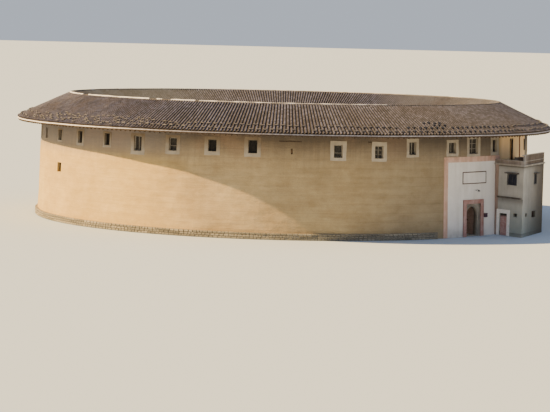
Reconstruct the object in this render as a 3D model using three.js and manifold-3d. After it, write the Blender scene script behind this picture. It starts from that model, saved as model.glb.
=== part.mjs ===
// A round rammed-earth house, three storeys high, with a ring roof of grey tiles, a plastered
// gate front and a small cement-rendered annex beside the gate. The real house is about 53 m
// across its eaves, so this is a model of it at half size.
// Sizes below are metres of the real house. Angles are degrees round the ring, from the front
// (-Y) towards the right (+X). The origin is on the ground, at the middle of the courtyard.
import * as THREE from "three";
import { mergeVertices } from "three/addons/utils/BufferGeometryUtils.js";
import Module from "manifold-3d";

const wasm = await Module();
wasm.setup();

const SCALE = 0.5;
const GAP = 0.3; // between touching pieces, in model millimetres
const FACET = 4.5; // degrees a flat of the ring takes
const FIRST_FACET = 2;
const INNERMOST = 0.001; // radii inside and past every piece
const BEYOND = 34;
const BELOW = -1; // heights past every piece
const ABOVE = 14;
const SLICE_STEP = 15; // degrees one edge of a slice takes at most

const WALL = { outerBase: 24.2, outerTop: 23.9, inner: 22.95, taperHeight: 10.2 };
const FOOTING = { outer: 24.42, topOuter: 24.37, inner: 22.8, height: 0.6, pieces: 3 };
const GATE_FRONT = { from: 35, to: 70 }; // the stretch of wall that stands on the ground
const FLOORS = { second: 3.4, third: 6.7, thickness: 0.25, inner: 17.35, pieces: 3 };
const RIDGE = { radius: 21.15, height: 11.8 };
const OUTER_EAVE = { radius: 26.2, height: 9.47 };
const INNER_EAVE = { radius: 15.9, height: 9.3 };
const ROOF_DEPTH = 0.26;
const ROOF_PIECES = 6;
const RIDGE_CAP = { halfWidth: 0.16, halfTop: 0.11, rise: 0.14 };
const EAVE_BOARD = { thickness: 0.06, low: 9.22, high: 9.41 };

const BAY = 9;
const WINDOW = { width: 0.82, low: 7.45, high: 8.55 };
// Each window of the front: its angle, its width, its sill and its head.
const FRONT_WINDOWS = [
  [-71, 0.75, 7.6, 8.6],
  [-61, 0.8, 7.62, 8.6],
  [-51.5, 0.72, 7.58, 8.68],
  [-42, 0.7, 7.6, 8.68],
  [-33.1, 0.88, 7.28, 8.62],
  [-24.3, 0.8, 7.47, 8.63],
  [-15.3, 0.78, 7.58, 8.6],
  [-6.6, 0.8, 7.53, 8.68],
  [11.45, 0.78, 7.29, 8.4],
  [20.5, 0.82, 7.25, 8.36],
  [28.5, 0.75, 7.56, 8.7],
  [39.3, 0.9, 7.63, 8.64],
  [46.15, 1.3, 7.52, 8.93],
  [54.3, 0.8, 7.63, 8.73],
];
const BACK_WINDOWS = Array.from({ length: 24 }, (_, i) => 74.5 + BAY * i);
const SLIT = { at: 1.6, width: 0.17, low: 7.54, high: 8.01 };
const LOW_WINDOW = { at: -60.85, width: 0.88, low: 4.65, high: 5.53 };
const TERRACE_DOOR = { at: 63.05, width: 0.86, low: FLOORS.third, high: 8.74 };
const THROUGH = { inner: 22, outer: 25 }; // what cuts a hole reaches past both faces of the wall

const WALL_SPANS = [
  [-76, -37],
  [-37, -4],
  [-4, 35],
  [70, 124],
  [124, 151],
  [151, 178],
  [178, 205],
  [205, 232],
  [232, 284],
];
const GATE = { at: 46.1, span: 2.9, head: 3.2 };
const RECESS = { width: 2.08, height: 3.0, depth: 0.25 };
const ARCH = { width: 1.55, spring: 1.95, depth: 0.35 };
const PASSAGE = { width: 1.9, height: 2.85 };
const THRESHOLD = { height: 0.1, behindArch: 0.1, earDepth: 0.15 };
const LEAF = { thickness: 0.06, height: 2.68, pivotInset: 0.056, middleGap: 0.006, pinRadius: 0.024 };
const LEAF_CLEARANCE = 0.012;

const SLIVER = 0.001; // degrees by which the border's cut is wider than the panel
const PANEL = { from: 38, to: 55.5, top: 6.82, thickness: 0.04 };
const BORDER = { from: 36.9, to: 56.5, top: 7.3, thickness: 0.05 };
const SURROUND = { width: 2.93, top: 3.38, thickness: 0.06 };
const PLAQUE = { from: 42.4, to: 50.6, low: 4.82, high: 5.93, thickness: 0.03 };

const POST = { radius: 17.21, size: 0.22, first: 5.9 };
const FRAME_START = 1.4;
const EDGE_BEAM = { inner: 17.12, outer: 17.52, depth: 0.28 };
const RAIL = { above: 1.0, size: 0.1 };

// The first and last corners of the annex are inside the ring wall; heel is how far the first one
// is from the wall's face. Distances along the left side (0) start at that face.
const ANNEX = {
  corners: [[19.1, -13.43], [21.853, -16.988], [24.45, -10.97], [21.2, -9.53]],
  heel: 0.9,
  wall: 0.24,
  slab: 0.15,
  upperFloor: 3.55,
  top: 6.63,
  overhang: 0.1,
};
const PARAPET = { low: 0.32, right: 0.87, thickness: 0.18 }; // only the right side's one is high
const ANNEX_DOOR = { from: 0.63, width: 0.99, height: 2.04, frame: 0.36, thickness: 0.03 };
const ANNEX_LEAF = { thickness: 0.05, inset: 0.05, clearance: 0.012, pinRadius: 0.02 };
const ANNEX_HOLES = [
  [
    { from: 1.55, width: 1.13, low: 4.7, high: 5.76 },
    { from: 2.4, width: 0.5, low: 1.83, high: 2.15 },
    { from: ANNEX_DOOR.from, width: ANNEX_DOOR.width, low: BELOW, high: ANNEX_DOOR.height },
  ],
  [
    { from: 3.48, width: 0.74, low: 4.71, high: 5.64 },
    { from: 0.9, width: 0.64, low: 1.83, high: 2.15 },
    { from: 3.02, width: 1.2, low: 1.62, high: 2.23 },
  ],
  [],
];
const SHELVES = [
  { side: 0, from: 1.4, width: 1.62, low: 5.77, thickness: 0.08, out: 0.3 },
  { side: 0, from: 0.33, width: 3.16, low: 3.48, thickness: 0.12, out: 0.12 },
  { side: 1, from: 3.3, width: 1.1, low: 5.68, thickness: 0.08, out: 0.3 },
];
const SHELF_ROOT = 0.05;
const ANNEX_REACH = 8; // a height over the annex, where its wall-side cut ends

const material = (color, roughness) => new THREE.MeshStandardMaterial({ color, roughness });
const EARTH = material(0xc9a877, 0.95);
const STONE = material(0x8f8a7e, 0.9);
const TILE = material(0x6f6258, 0.85);
const LIME = material(0xcfc9ba, 0.9);
const TIMBER = material(0x6b4a30, 0.75);
const PLASTER = material(0xe9e4d8, 0.85);
const RED = material(0xb4564a, 0.8);
const CEMENT = material(0xa9a49c, 0.9);
const GATE_WOOD = material(0x6e2f22, 0.7);
const DOOR_PAINT = material(0xa65b4c, 0.6);
const WHITE_PAINT = material(0xdedad2, 0.6);

const mm = (metres) => metres * 1000 * SCALE;
const rad = THREE.MathUtils.degToRad;

// Solids for joining and cutting

function solid(geometry) {
  const shell = geometry.index ? geometry.toNonIndexed() : geometry.clone();
  shell.deleteAttribute("normal");
  shell.deleteAttribute("uv");
  const merged = mergeVertices(shell, 1e-3);
  const vertProperties = merged.attributes.position.array;
  const triVerts = new Uint32Array(merged.index.array);
  return new wasm.Manifold(new wasm.Mesh({ numProp: 3, vertProperties, triVerts }));
}

function geometryOf(body) {
  const mesh = body.getMesh();
  const geometry = new THREE.BufferGeometry();
  geometry.setAttribute("position", new THREE.BufferAttribute(new Float32Array(mesh.vertProperties), 3));
  geometry.setIndex(new THREE.BufferAttribute(new Uint32Array(mesh.triVerts), 1));
  const flat = geometry.toNonIndexed();
  flat.computeVertexNormals();
  return flat;
}

// A closed ring from its section, whose points are [radius, height] in metres, counter-clockwise.
function ring(section, facet = FACET, first = FIRST_FACET) {
  const points = [...section, section[0]].map(([r, z]) => new THREE.Vector2(mm(r), mm(z)));
  const lathe = new THREE.LatheGeometry(points, 360 / facet, rad(first));
  return solid(lathe.rotateX(Math.PI / 2));
}

function prism(outline, low, high) {
  const shape = new THREE.Shape(outline.map(([x, y]) => new THREE.Vector2(mm(x), mm(y))));
  const body = new THREE.ExtrudeGeometry(shape, { depth: mm(high - low), bevelEnabled: false });
  return solid(body.translate(0, 0, mm(low)));
}

const polar = (radius, angle) => [radius * Math.sin(rad(angle)), -radius * Math.cos(rad(angle))];

// The slice of the ring between two angles, less half a gap at each side.
function slice(from, to, low = BELOW, high = ABOVE) {
  const trim = THREE.MathUtils.radToDeg(GAP / 2 / mm(WALL.inner));
  const steps = Math.ceil((to - from) / SLICE_STEP);
  const outline = [[0, 0]];
  for (let i = 0; i <= steps; i += 1) {
    outline.push(polar(BEYOND, from + trim + ((to - from - 2 * trim) * i) / steps));
  }
  return prism(outline, low, high);
}

// A box that stands across the ring wall at an angle, between two radii.
function across(angle, width, innerRadius, outerRadius, low, high) {
  const box = new THREE.BoxGeometry(mm(width), mm(outerRadius - innerRadius), mm(high - low));
  box.translate(0, -mm((innerRadius + outerRadius) / 2), mm((low + high) / 2));
  return solid(box.rotateZ(rad(angle)));
}

const cutThrough = (angle, width, low, high) =>
  across(angle, width, THROUGH.inner, THROUGH.outer, low, high);

function union(bodies) {
  return bodies.reduce((sum, body) => sum.add(body));
}

const house = new THREE.Group();

function addPiece(name, geometry, finish, group = house) {
  const mesh = new THREE.Mesh(geometry, finish);
  mesh.name = name;
  group.add(mesh);
  return mesh;
}

// The rammed-earth wall and what it stands on

const wallRadius = (z) => WALL.outerBase + ((WALL.outerTop - WALL.outerBase) * z) / WALL.taperHeight;
const gap = GAP / 1000 / SCALE;
const outerPitch = (RIDGE.height - OUTER_EAVE.height) / (OUTER_EAVE.radius - RIDGE.radius);
const innerPitch = (RIDGE.height - INNER_EAVE.height) / (RIDGE.radius - INNER_EAVE.radius);

function roofTop(radius) {
  const out = radius - RIDGE.radius;
  return RIDGE.height - (out > 0 ? out * outerPitch : -out * innerPitch);
}

const underRoof = (radius) => roofTop(radius) - ROOF_DEPTH - 2 * gap;

// A skin on the wall's outside, from a depth off the wall to another.
function skin(near, far, low, high) {
  return ring([
    [wallRadius(low) + near, low],
    [wallRadius(low) + far, low],
    [wallRadius(high) + far, high],
    [wallRadius(high) + near, high],
  ]);
}

const wallRing = ring([
  [WALL.inner, 0],
  [wallRadius(0), 0],
  [wallRadius(underRoof(WALL.outerTop)), underRoof(WALL.outerTop)],
  [WALL.inner, underRoof(WALL.inner)],
]);

const windowHoles = [
  ...FRONT_WINDOWS.map(([at, width, low, high]) => ({ at, width, low, high })),
  ...BACK_WINDOWS.map((at) => ({ at, ...WINDOW })),
  SLIT,
  LOW_WINDOW,
  TERRACE_DOOR,
];

function holesBetween(from, to) {
  const inside = windowHoles.filter(({ at }) => (at - from + 720) % 360 < to - from);
  return union(inside.map(({ at, width, low, high }) => cutThrough(at, width, low, high)));
}

function wallPiece(from, to, low, high = ABOVE) {
  return wallRing.intersect(slice(from, to, low, high)).subtract(holesBetween(from, to));
}

function buildWall() {
  WALL_SPANS.forEach(([from, to], i) => {
    addPiece("earth_wall_" + (i + 1), geometryOf(wallPiece(from, to, FOOTING.height + gap)), EARTH);
  });
  const [left, right] = [GATE.at - GATE.span, GATE.at + GATE.span];
  addPiece("gate_wall_left", geometryOf(wallPiece(GATE_FRONT.from, left, 0)), EARTH);
  addPiece("gate_wall_right", geometryOf(wallPiece(right, GATE_FRONT.to, 0)), EARTH);
  addPiece("gate_wall_over", geometryOf(wallPiece(left, right, GATE.head + gap)), EARTH);
}

function buildFooting() {
  const footing = ring([
    [FOOTING.inner, 0],
    [FOOTING.outer, 0],
    [FOOTING.topOuter, FOOTING.height],
    [FOOTING.inner, FOOTING.height],
  ]);
  const span = (360 + GATE_FRONT.from - GATE_FRONT.to) / FOOTING.pieces;
  for (let i = 0; i < FOOTING.pieces; i += 1) {
    const from = GATE_FRONT.to + span * i;
    addPiece("stone_footing_" + (i + 1), geometryOf(footing.intersect(slice(from, from + span))), STONE);
  }
}

// Floors, the timber frame on the courtyard side, and the roof

function buildFloors() {
  for (const [name, top] of [["second_floor", FLOORS.second], ["third_floor", FLOORS.third]]) {
    const floor = ring([
      [FLOORS.inner, top - FLOORS.thickness],
      [WALL.inner - gap, top - FLOORS.thickness],
      [WALL.inner - gap, top],
      [FLOORS.inner, top],
    ]);
    const span = 360 / FLOORS.pieces;
    for (let i = 0; i < FLOORS.pieces; i += 1) {
      const from = FIRST_FACET + span * i;
      addPiece(name + "_" + (i + 1), geometryOf(floor.intersect(slice(from, from + span))), TIMBER);
    }
  }
}

// Beams run straight from post to post, one bay at a time.
function buildInnerFrames() {
  const beam = (top, depth, inner, outer) => {
    const section = [[inner, top - depth], [outer, top - depth], [outer, top], [inner, top]];
    return ring(section, BAY, POST.first);
  };
  const edgeBeam = (top) => beam(top, EDGE_BEAM.depth, EDGE_BEAM.inner, EDGE_BEAM.outer);
  const rail = (top) => beam(top, RAIL.size, POST.radius - RAIL.size / 2, POST.radius + RAIL.size / 2);
  const plateTop = underRoof(EDGE_BEAM.inner * Math.cos(rad(BAY / 2)));
  const rings = union([
    edgeBeam(FLOORS.second - FLOORS.thickness - gap),
    edgeBeam(FLOORS.third - FLOORS.thickness - gap),
    edgeBeam(plateTop),
    rail(FLOORS.second + RAIL.above),
    rail(FLOORS.third + RAIL.above),
  ]);
  const postTop = plateTop - EDGE_BEAM.depth / 2;
  for (let quarter = 0; quarter < 4; quarter += 1) {
    const from = FRAME_START + 90 * quarter;
    const posts = Array.from({ length: 90 / BAY }, (_, i) =>
      across(
        POST.first + 90 * quarter + BAY * i,
        POST.size,
        POST.radius - POST.size / 2,
        POST.radius + POST.size / 2,
        0,
        postTop,
      ),
    );
    const frame = rings.intersect(slice(from, from + 90)).add(union(posts));
    addPiece("gallery_frame_" + (quarter + 1), geometryOf(frame), TIMBER);
  }
}

function buildRoof() {
  const roof = ring([
    [OUTER_EAVE.radius, OUTER_EAVE.height],
    [RIDGE.radius, RIDGE.height],
    [INNER_EAVE.radius, INNER_EAVE.height],
    [INNER_EAVE.radius, INNER_EAVE.height - ROOF_DEPTH],
    [RIDGE.radius, RIDGE.height - ROOF_DEPTH],
    [OUTER_EAVE.radius, OUTER_EAVE.height - ROOF_DEPTH],
  ]);
  const span = 360 / ROOF_PIECES;
  for (let i = 0; i < ROOF_PIECES; i += 1) {
    const from = FIRST_FACET + span * i;
    addPiece("tiled_roof_" + (i + 1), geometryOf(roof.intersect(slice(from, from + span))), TILE);
  }
  const foot = RIDGE_CAP.halfWidth;
  const seat = 2 * gap;
  const cap = ring([
    [RIDGE.radius - foot, roofTop(RIDGE.radius - foot) + seat],
    [RIDGE.radius, RIDGE.height + seat],
    [RIDGE.radius + foot, roofTop(RIDGE.radius + foot) + seat],
    [RIDGE.radius + RIDGE_CAP.halfTop, RIDGE.height + RIDGE_CAP.rise],
    [RIDGE.radius - RIDGE_CAP.halfTop, RIDGE.height + RIDGE_CAP.rise],
  ]);
  addPiece("lime_ridge", geometryOf(cap), LIME);
  const board = ring([
    [OUTER_EAVE.radius + gap, EAVE_BOARD.low],
    [OUTER_EAVE.radius + gap + EAVE_BOARD.thickness, EAVE_BOARD.low],
    [OUTER_EAVE.radius + gap + EAVE_BOARD.thickness, EAVE_BOARD.high],
    [OUTER_EAVE.radius + gap, EAVE_BOARD.high],
  ]);
  addPiece("eave_board", geometryOf(board), LIME);
}

// The gate: an arched opening in a recess, two leaves, and the plastered front round them

function archOpening(width, spring, nearRadius, farRadius) {
  const half = mm(width / 2);
  const shape = new THREE.Shape();
  shape.moveTo(-half, mm(BELOW));
  shape.lineTo(half, mm(BELOW));
  shape.lineTo(half, mm(spring));
  shape.absarc(0, mm(spring), half, 0, Math.PI, false);
  const settings = { depth: mm(farRadius - nearRadius), bevelEnabled: false, curveSegments: 8 };
  const body = new THREE.ExtrudeGeometry(shape, settings).rotateX(Math.PI / 2);
  return solid(body.translate(0, -mm(nearRadius), 0).rotateZ(rad(GATE.at)));
}

const recessBack = wallRadius(0) - RECESS.depth;
const archBack = recessBack - ARCH.depth;
const sillBack = archBack - THRESHOLD.behindArch;

function buildGateWall() {
  const block = wallRing.intersect(slice(GATE.at - GATE.span, GATE.at + GATE.span, 0, GATE.head));
  const arch = block
    .subtract(across(GATE.at, RECESS.width, recessBack, THROUGH.outer, BELOW, RECESS.height))
    .subtract(archOpening(ARCH.width, ARCH.spring, sillBack, THROUGH.outer))
    .subtract(across(GATE.at, PASSAGE.width, THROUGH.inner, archBack, BELOW, PASSAGE.height));
  addPiece("gate_arch", geometryOf(arch), CEMENT);
  const sill = across(GATE.at, ARCH.width - 2 * gap, sillBack, recessBack, 0, THRESHOLD.height);
  const earBack = archBack - THRESHOLD.earDepth;
  const earFront = archBack - gap;
  const ears = across(GATE.at, PASSAGE.width - 2 * gap, earBack, earFront, 0, THRESHOLD.height);
  addPiece("gate_threshold", geometryOf(sill.add(ears)), STONE);
}

// A leaf hangs on pins at its heel. Its own origin is on the pin line, at the foot of the pin.
function buildGateLeaves() {
  const halfLeaf = LEAF.thickness / 2;
  const reach = PASSAGE.width / 2 - LEAF.pivotInset - LEAF.middleGap;
  const low = LEAF_CLEARANCE;
  const headroom = PASSAGE.height - THRESHOLD.height - 2 * gap;
  for (const [name, side] of [["gate_leaf_left", -1], ["gate_leaf_right", 1]]) {
    const board = new THREE.BoxGeometry(mm(LEAF.thickness), mm(reach + halfLeaf), mm(LEAF.height));
    board.translate(0, mm((reach - halfLeaf) / 2), mm(low + LEAF.height / 2));
    const pin = new THREE.CylinderGeometry(mm(LEAF.pinRadius), mm(LEAF.pinRadius), mm(headroom), 12);
    pin.rotateX(Math.PI / 2).translate(0, 0, mm(headroom / 2));
    const pivot = new THREE.Group();
    pivot.rotation.z = rad(GATE.at);
    const pivotRadius = archBack - LEAF.pivotInset;
    const [x, y] = [side * (PASSAGE.width / 2 - LEAF.pivotInset), -pivotRadius];
    const spin = new THREE.Vector3(mm(x), mm(y), 0).applyAxisAngle(new THREE.Vector3(0, 0, 1), rad(GATE.at));
    pivot.position.set(spin.x, spin.y, mm(THRESHOLD.height + gap));
    addPiece(name, geometryOf(solid(board).add(solid(pin))), GATE_WOOD, pivot);
    house.add(pivot);
  }
}

function buildGateFront(annexBlock) {
  const opening = cutThrough(GATE.at, RECESS.width, BELOW, RECESS.height);
  const panel = skin(gap, PANEL.thickness, 0, PANEL.top)
    .intersect(slice(PANEL.from, PANEL.to))
    .subtract(opening)
    .subtract(annexBlock);
  addPiece("gate_plaster", geometryOf(panel), PLASTER);
  const inside = slice(PANEL.from - SLIVER, PANEL.to + SLIVER, BELOW, PANEL.top + gap);
  const border = skin(gap, BORDER.thickness, 0, BORDER.top)
    .intersect(slice(BORDER.from, BORDER.to))
    .subtract(inside)
    .subtract(annexBlock);
  addPiece("red_border", geometryOf(border), RED);
  const halfSurround = THREE.MathUtils.radToDeg(SURROUND.width / 2 / wallRadius(0));
  const face = PANEL.thickness + gap;
  const surround = skin(face, face + SURROUND.thickness, 0, SURROUND.top)
    .intersect(slice(GATE.at - halfSurround, GATE.at + halfSurround))
    .subtract(opening);
  addPiece("gate_surround", geometryOf(surround), RED);
  const plaque = skin(face, face + PLAQUE.thickness, PLAQUE.low, PLAQUE.high)
    .intersect(slice(PLAQUE.from, PLAQUE.to));
  addPiece("name_plaque", geometryOf(plaque), PLASTER);
}

// The annex beside the gate

const annexPoints = ANNEX.corners.map(([x, y]) => new THREE.Vector2(x, y));

// The annex's outline moved in by a distance on its three outer sides, a negative one moving out.
function annexOutline(inset) {
  const sides = [0, 1, 2].map((i) => {
    const along = annexPoints[i + 1].clone().sub(annexPoints[i]).normalize();
    const inward = new THREE.Vector2(-along.y, along.x);
    return { start: annexPoints[i].clone().addScaledVector(inward, inset), along };
  });
  const meet = (a, b) => {
    const cross = a.along.x * b.along.y - a.along.y * b.along.x;
    const apart = b.start.clone().sub(a.start);
    const travel = (apart.x * b.along.y - apart.y * b.along.x) / cross;
    return a.start.clone().addScaledVector(a.along, travel);
  };
  const last = annexPoints[3].clone().addScaledVector(
    new THREE.Vector2(-sides[2].along.y, sides[2].along.x), inset);
  return [sides[0].start, meet(sides[0], sides[1]), meet(sides[1], sides[2]), last];
}

const pairs = (points) => points.map(({ x, y }) => [x, y]);

// Everything inside the ring wall's face, so that the annex stops at it.
const insideWall = ring([
  [INNERMOST, 2 * BELOW],
  [wallRadius(0) + gap, 2 * BELOW],
  [wallRadius(0) + gap, 0],
  [wallRadius(ANNEX_REACH) + gap, ANNEX_REACH],
  [INNERMOST, ANNEX_REACH],
]);

// A box set against one side of the annex: from a distance along it, and from a depth inside to
// a depth outside its face.
function onSide(side, from, width, low, high, inside, outside) {
  const start = annexPoints[side];
  const along = annexPoints[side + 1].clone().sub(start).normalize();
  const offset = side === 0 ? ANNEX.heel : 0;
  const box = new THREE.BoxGeometry(mm(width), mm(inside + outside), mm(high - low));
  box.translate(mm(offset + from + width / 2), mm((inside - outside) / 2), mm((low + high) / 2));
  box.rotateZ(along.angle());
  return solid(box.translate(mm(start.x), mm(start.y), 0));
}

function buildAnnexWalls() {
  const outer = annexOutline(0);
  const inner = annexOutline(ANNEX.wall);
  const names = ["annex_wall_left", "annex_wall_right", "annex_wall_back"];
  names.forEach((name, side) => {
    const along = annexPoints[side + 1].clone().sub(annexPoints[side]).normalize();
    const trim = along.multiplyScalar(gap);
    const outline = [
      outer[side].clone().add(side ? trim : new THREE.Vector2()),
      outer[side + 1].clone().sub(side < 2 ? trim : new THREE.Vector2()),
      inner[side + 1].clone().sub(side < 2 ? trim : new THREE.Vector2()),
      inner[side].clone().add(side ? trim : new THREE.Vector2()),
    ];
    let wall = prism(pairs(outline), 0, ANNEX.top - ANNEX.slab - gap);
    for (const { from, width, low, high } of ANNEX_HOLES[side]) {
      wall = wall.subtract(onSide(side, from, width, low, high, 1, 1));
    }
    for (const { from, width, low, thickness, out } of SHELVES.filter((shelf) => shelf.side === side)) {
      wall = wall.add(onSide(side, from, width, low, low + thickness, SHELF_ROOT, out));
    }
    addPiece(name, geometryOf(wall.subtract(insideWall)), CEMENT);
  });
}

// The annex's outside with a gap round it, which the plastered front stops at.
function annexEnvelope() {
  const body = prism(pairs(annexOutline(-gap)), BELOW, ANNEX.top + PARAPET.low + gap);
  const eaves = pairs(annexOutline(-ANNEX.overhang - gap));
  return body.add(prism(eaves, ANNEX.top - ANNEX.slab - gap, ANNEX.top + gap));
}

function buildAnnexFloors() {
  const room = pairs(annexOutline(ANNEX.wall + gap));
  const floor = prism(room, ANNEX.upperFloor - ANNEX.slab, ANNEX.upperFloor).subtract(insideWall);
  addPiece("annex_upper_floor", geometryOf(floor), CEMENT);
  const roof = prism(pairs(annexOutline(-ANNEX.overhang)), ANNEX.top - ANNEX.slab, ANNEX.top).subtract(insideWall);
  addPiece("annex_roof_slab", geometryOf(roof), CEMENT);
  const lowTop = ANNEX.top + PARAPET.low;
  const aboveLow = (side, from) =>
    onSide(side, from, BEYOND, lowTop, lowTop + PARAPET.right, PARAPET.thickness, 1);
  const rim = prism(pairs(annexOutline(0)), ANNEX.top + gap, ANNEX.top + PARAPET.right)
    .subtract(prism(pairs(annexOutline(PARAPET.thickness)), 0, ANNEX.top + 2 * PARAPET.right))
    .subtract(aboveLow(0, -ANNEX.heel))
    .subtract(aboveLow(2, PARAPET.thickness))
    .subtract(insideWall);
  addPiece("annex_parapet", geometryOf(rim), CEMENT);
}

function buildAnnexDoor() {
  const { from, width, height, frame, thickness } = ANNEX_DOOR;
  const trim = onSide(0, from - frame, width + 2 * frame, 0, height + frame, -gap, thickness + gap)
    .subtract(onSide(0, from, width, BELOW, height, 1, 1));
  addPiece("annex_door_frame", geometryOf(trim), WHITE_PAINT);
  const start = annexPoints[0];
  const along = annexPoints[1].clone().sub(start).normalize();
  const inward = new THREE.Vector2(-along.y, along.x);
  const leaf = ANNEX_LEAF;
  const pinLine = start.clone()
    .addScaledVector(along, ANNEX.heel + from + leaf.inset)
    .addScaledVector(inward, ANNEX.wall / 2);
  const reach = width - leaf.inset - leaf.clearance;
  const rise = height - 2 * leaf.clearance;
  const board = new THREE.BoxGeometry(mm(reach + leaf.thickness / 2), mm(leaf.thickness), mm(rise));
  board.translate(mm((reach - leaf.thickness / 2) / 2), 0, mm(leaf.clearance + rise / 2));
  const pinHeight = height - gap - leaf.clearance;
  const pin = new THREE.CylinderGeometry(mm(leaf.pinRadius), mm(leaf.pinRadius), mm(pinHeight), 12);
  pin.rotateX(Math.PI / 2).translate(0, 0, mm(leaf.clearance + pinHeight / 2));
  const hinge = new THREE.Group();
  hinge.position.set(mm(pinLine.x), mm(pinLine.y), 0);
  hinge.rotation.z = along.angle();
  addPiece("annex_door_leaf", geometryOf(solid(board).add(solid(pin))), DOOR_PAINT, hinge);
  house.add(hinge);
}

buildWall();
buildFooting();
buildFloors();
buildInnerFrames();
buildRoof();
buildGateWall();
buildGateLeaves();
buildGateFront(annexEnvelope());
buildAnnexWalls();
buildAnnexFloors();
buildAnnexDoor();

export default house;
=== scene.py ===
"""A round rammed-earth house of three storeys, at half size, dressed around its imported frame.

Every piece is built in metres of the real house and halved once, in settle(). Angles are degrees
round the ring, from the front (-Y) towards the right (+X).
"""
import math
import random

import bmesh
import bpy
import numpy as np
from mathutils import Matrix, Vector, noise


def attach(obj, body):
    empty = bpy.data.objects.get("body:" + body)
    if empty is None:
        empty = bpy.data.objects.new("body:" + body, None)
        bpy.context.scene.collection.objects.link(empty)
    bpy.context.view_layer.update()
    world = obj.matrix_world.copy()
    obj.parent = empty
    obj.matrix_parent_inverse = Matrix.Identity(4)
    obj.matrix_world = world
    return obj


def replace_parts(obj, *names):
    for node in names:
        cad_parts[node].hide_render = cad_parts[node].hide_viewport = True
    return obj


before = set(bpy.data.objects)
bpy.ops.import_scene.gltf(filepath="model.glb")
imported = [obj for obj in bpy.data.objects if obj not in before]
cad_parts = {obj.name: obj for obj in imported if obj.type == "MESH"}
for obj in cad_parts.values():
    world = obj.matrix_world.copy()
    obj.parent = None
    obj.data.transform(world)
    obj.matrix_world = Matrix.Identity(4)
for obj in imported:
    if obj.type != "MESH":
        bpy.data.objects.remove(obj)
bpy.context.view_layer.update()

HALF = 0.5  # model metres for one metre of the real house
HOUSE = "house"
RANDOM_SEED = 41

# The camera, where the photograph was taken from

CAMERA_PLACE = Vector((-0.34, -200.0, 17.85))
CAMERA_DOWN = math.radians(4.836)
CAMERA_ROLL = 0.0242
CAMERA_TURN = 0.00194
SENSOR_WIDTH = 36.0
PHOTO_WIDTH = 550
FOCAL_PIXELS = 2015.0


def build_camera():
    data = bpy.data.cameras.new("camera")
    camera = bpy.data.objects.new("camera", data)
    bpy.context.scene.collection.objects.link(camera)
    data.sensor_width = SENSOR_WIDTH
    data.lens = FOCAL_PIXELS / PHOTO_WIDTH * SENSOR_WIDTH
    data.clip_end = 4000
    aim = Matrix.Rotation(CAMERA_TURN, 4, "Z") @ Matrix.Rotation(math.pi / 2 - CAMERA_DOWN, 4, "X")
    roll = Matrix.Rotation(CAMERA_ROLL, 4, "Z")
    camera.matrix_world = Matrix.Translation(CAMERA_PLACE * HALF) @ aim @ roll
    bpy.context.scene.camera = camera


# The house, in real metres

WALL_BASE_R = 24.2
WALL_TOP_R = 23.9
WALL_TAPER_HEIGHT = 10.2
WALL_INNER_R = 22.95
FOOTING_HEIGHT = 0.6
FOOTING_R = 24.42
RIDGE_R = 21.15
RIDGE_Z = 11.8
OUTER_EAVE_R = 26.2
INNER_EAVE_R = 15.9
EAVE_Z = 9.47
INNER_EAVE_Z = 9.3
ROOF_DEPTH = 0.26
SECOND_FLOOR = 3.4
THIRD_FLOOR = 6.7
FLOOR_DEPTH = 0.25
BAY = 9.0
POST_R = 17.21
FIRST_POST = 5.9
GATE = 46.1
GATE_FRONT = (35.0, 70.0)


def wall_radius(z):
    return WALL_BASE_R + (WALL_TOP_R - WALL_BASE_R) * z / WALL_TAPER_HEIGHT


def roof_height(radius):
    if radius > RIDGE_R:
        return RIDGE_Z - (radius - RIDGE_R) * (RIDGE_Z - EAVE_Z) / (OUTER_EAVE_R - RIDGE_R)
    return RIDGE_Z - (RIDGE_R - radius) * (RIDGE_Z - INNER_EAVE_Z) / (RIDGE_R - INNER_EAVE_R)


def turn(angle):
    return Matrix.Rotation(math.radians(angle), 4, "Z")


def spot(radius, angle, z=0.0):
    """The place on the ring at an angle: its own -Y points out, +X along the wall."""
    return turn(angle) @ Matrix.Translation((0, -radius, z))


def angle_of(point):
    return math.degrees(math.atan2(point.x, -point.y))


# Finishes

BUMP_STRENGTH = 0.6


def linear(hex_colour):
    """An sRGB hex value as linear red, green, blue and alpha."""
    channels = [int(hex_colour[i:i + 2], 16) / 255 for i in (0, 2, 4)]
    bent = [c / 12.92 if c <= 0.04045 else ((c + 0.055) / 1.055) ** 2.4 for c in channels]
    return (*bent, 1.0)


def add_node(material, kind, inputs=(), out=0, stops=(), **settings):
    """Adds a node and returns one of its outputs. Its inputs are values, hex colours or outputs,
    in order or by name, and its stops are those of a colour ramp."""
    tree = material.node_tree
    node = tree.nodes.new("ShaderNode" + kind)
    for name, value in settings.items():
        setattr(node, name, value)
    if stops:
        elements = node.color_ramp.elements
        while len(elements) < len(stops):
            elements.new(0.5)
        for element, (position, colour) in zip(elements, stops):
            element.position = position
            element.color = linear(colour)
    for name, value in inputs.items() if isinstance(inputs, dict) else enumerate(inputs):
        socket = node.inputs[name]
        if isinstance(value, bpy.types.NodeSocket):
            tree.links.new(value, socket)
        else:
            socket.default_value = linear(value) if isinstance(value, str) else value
    return node.outputs[out]


def start_material(name, roughness, ior=1.5, metallic=0.0):
    """A material, and Object coordinates in metres of the real house."""
    material = bpy.data.materials.new(name)
    material.use_nodes = True
    shader = material.node_tree.nodes["Principled BSDF"]
    for socket, value in (("Roughness", roughness), ("IOR", ior), ("Metallic", metallic)):
        shader.inputs[socket].default_value = value
    place = add_node(material, "TexCoord", out="Object")
    return material, add_node(material, "Mapping", {0: place, "Scale": (1 / HALF,) * 3})


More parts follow.
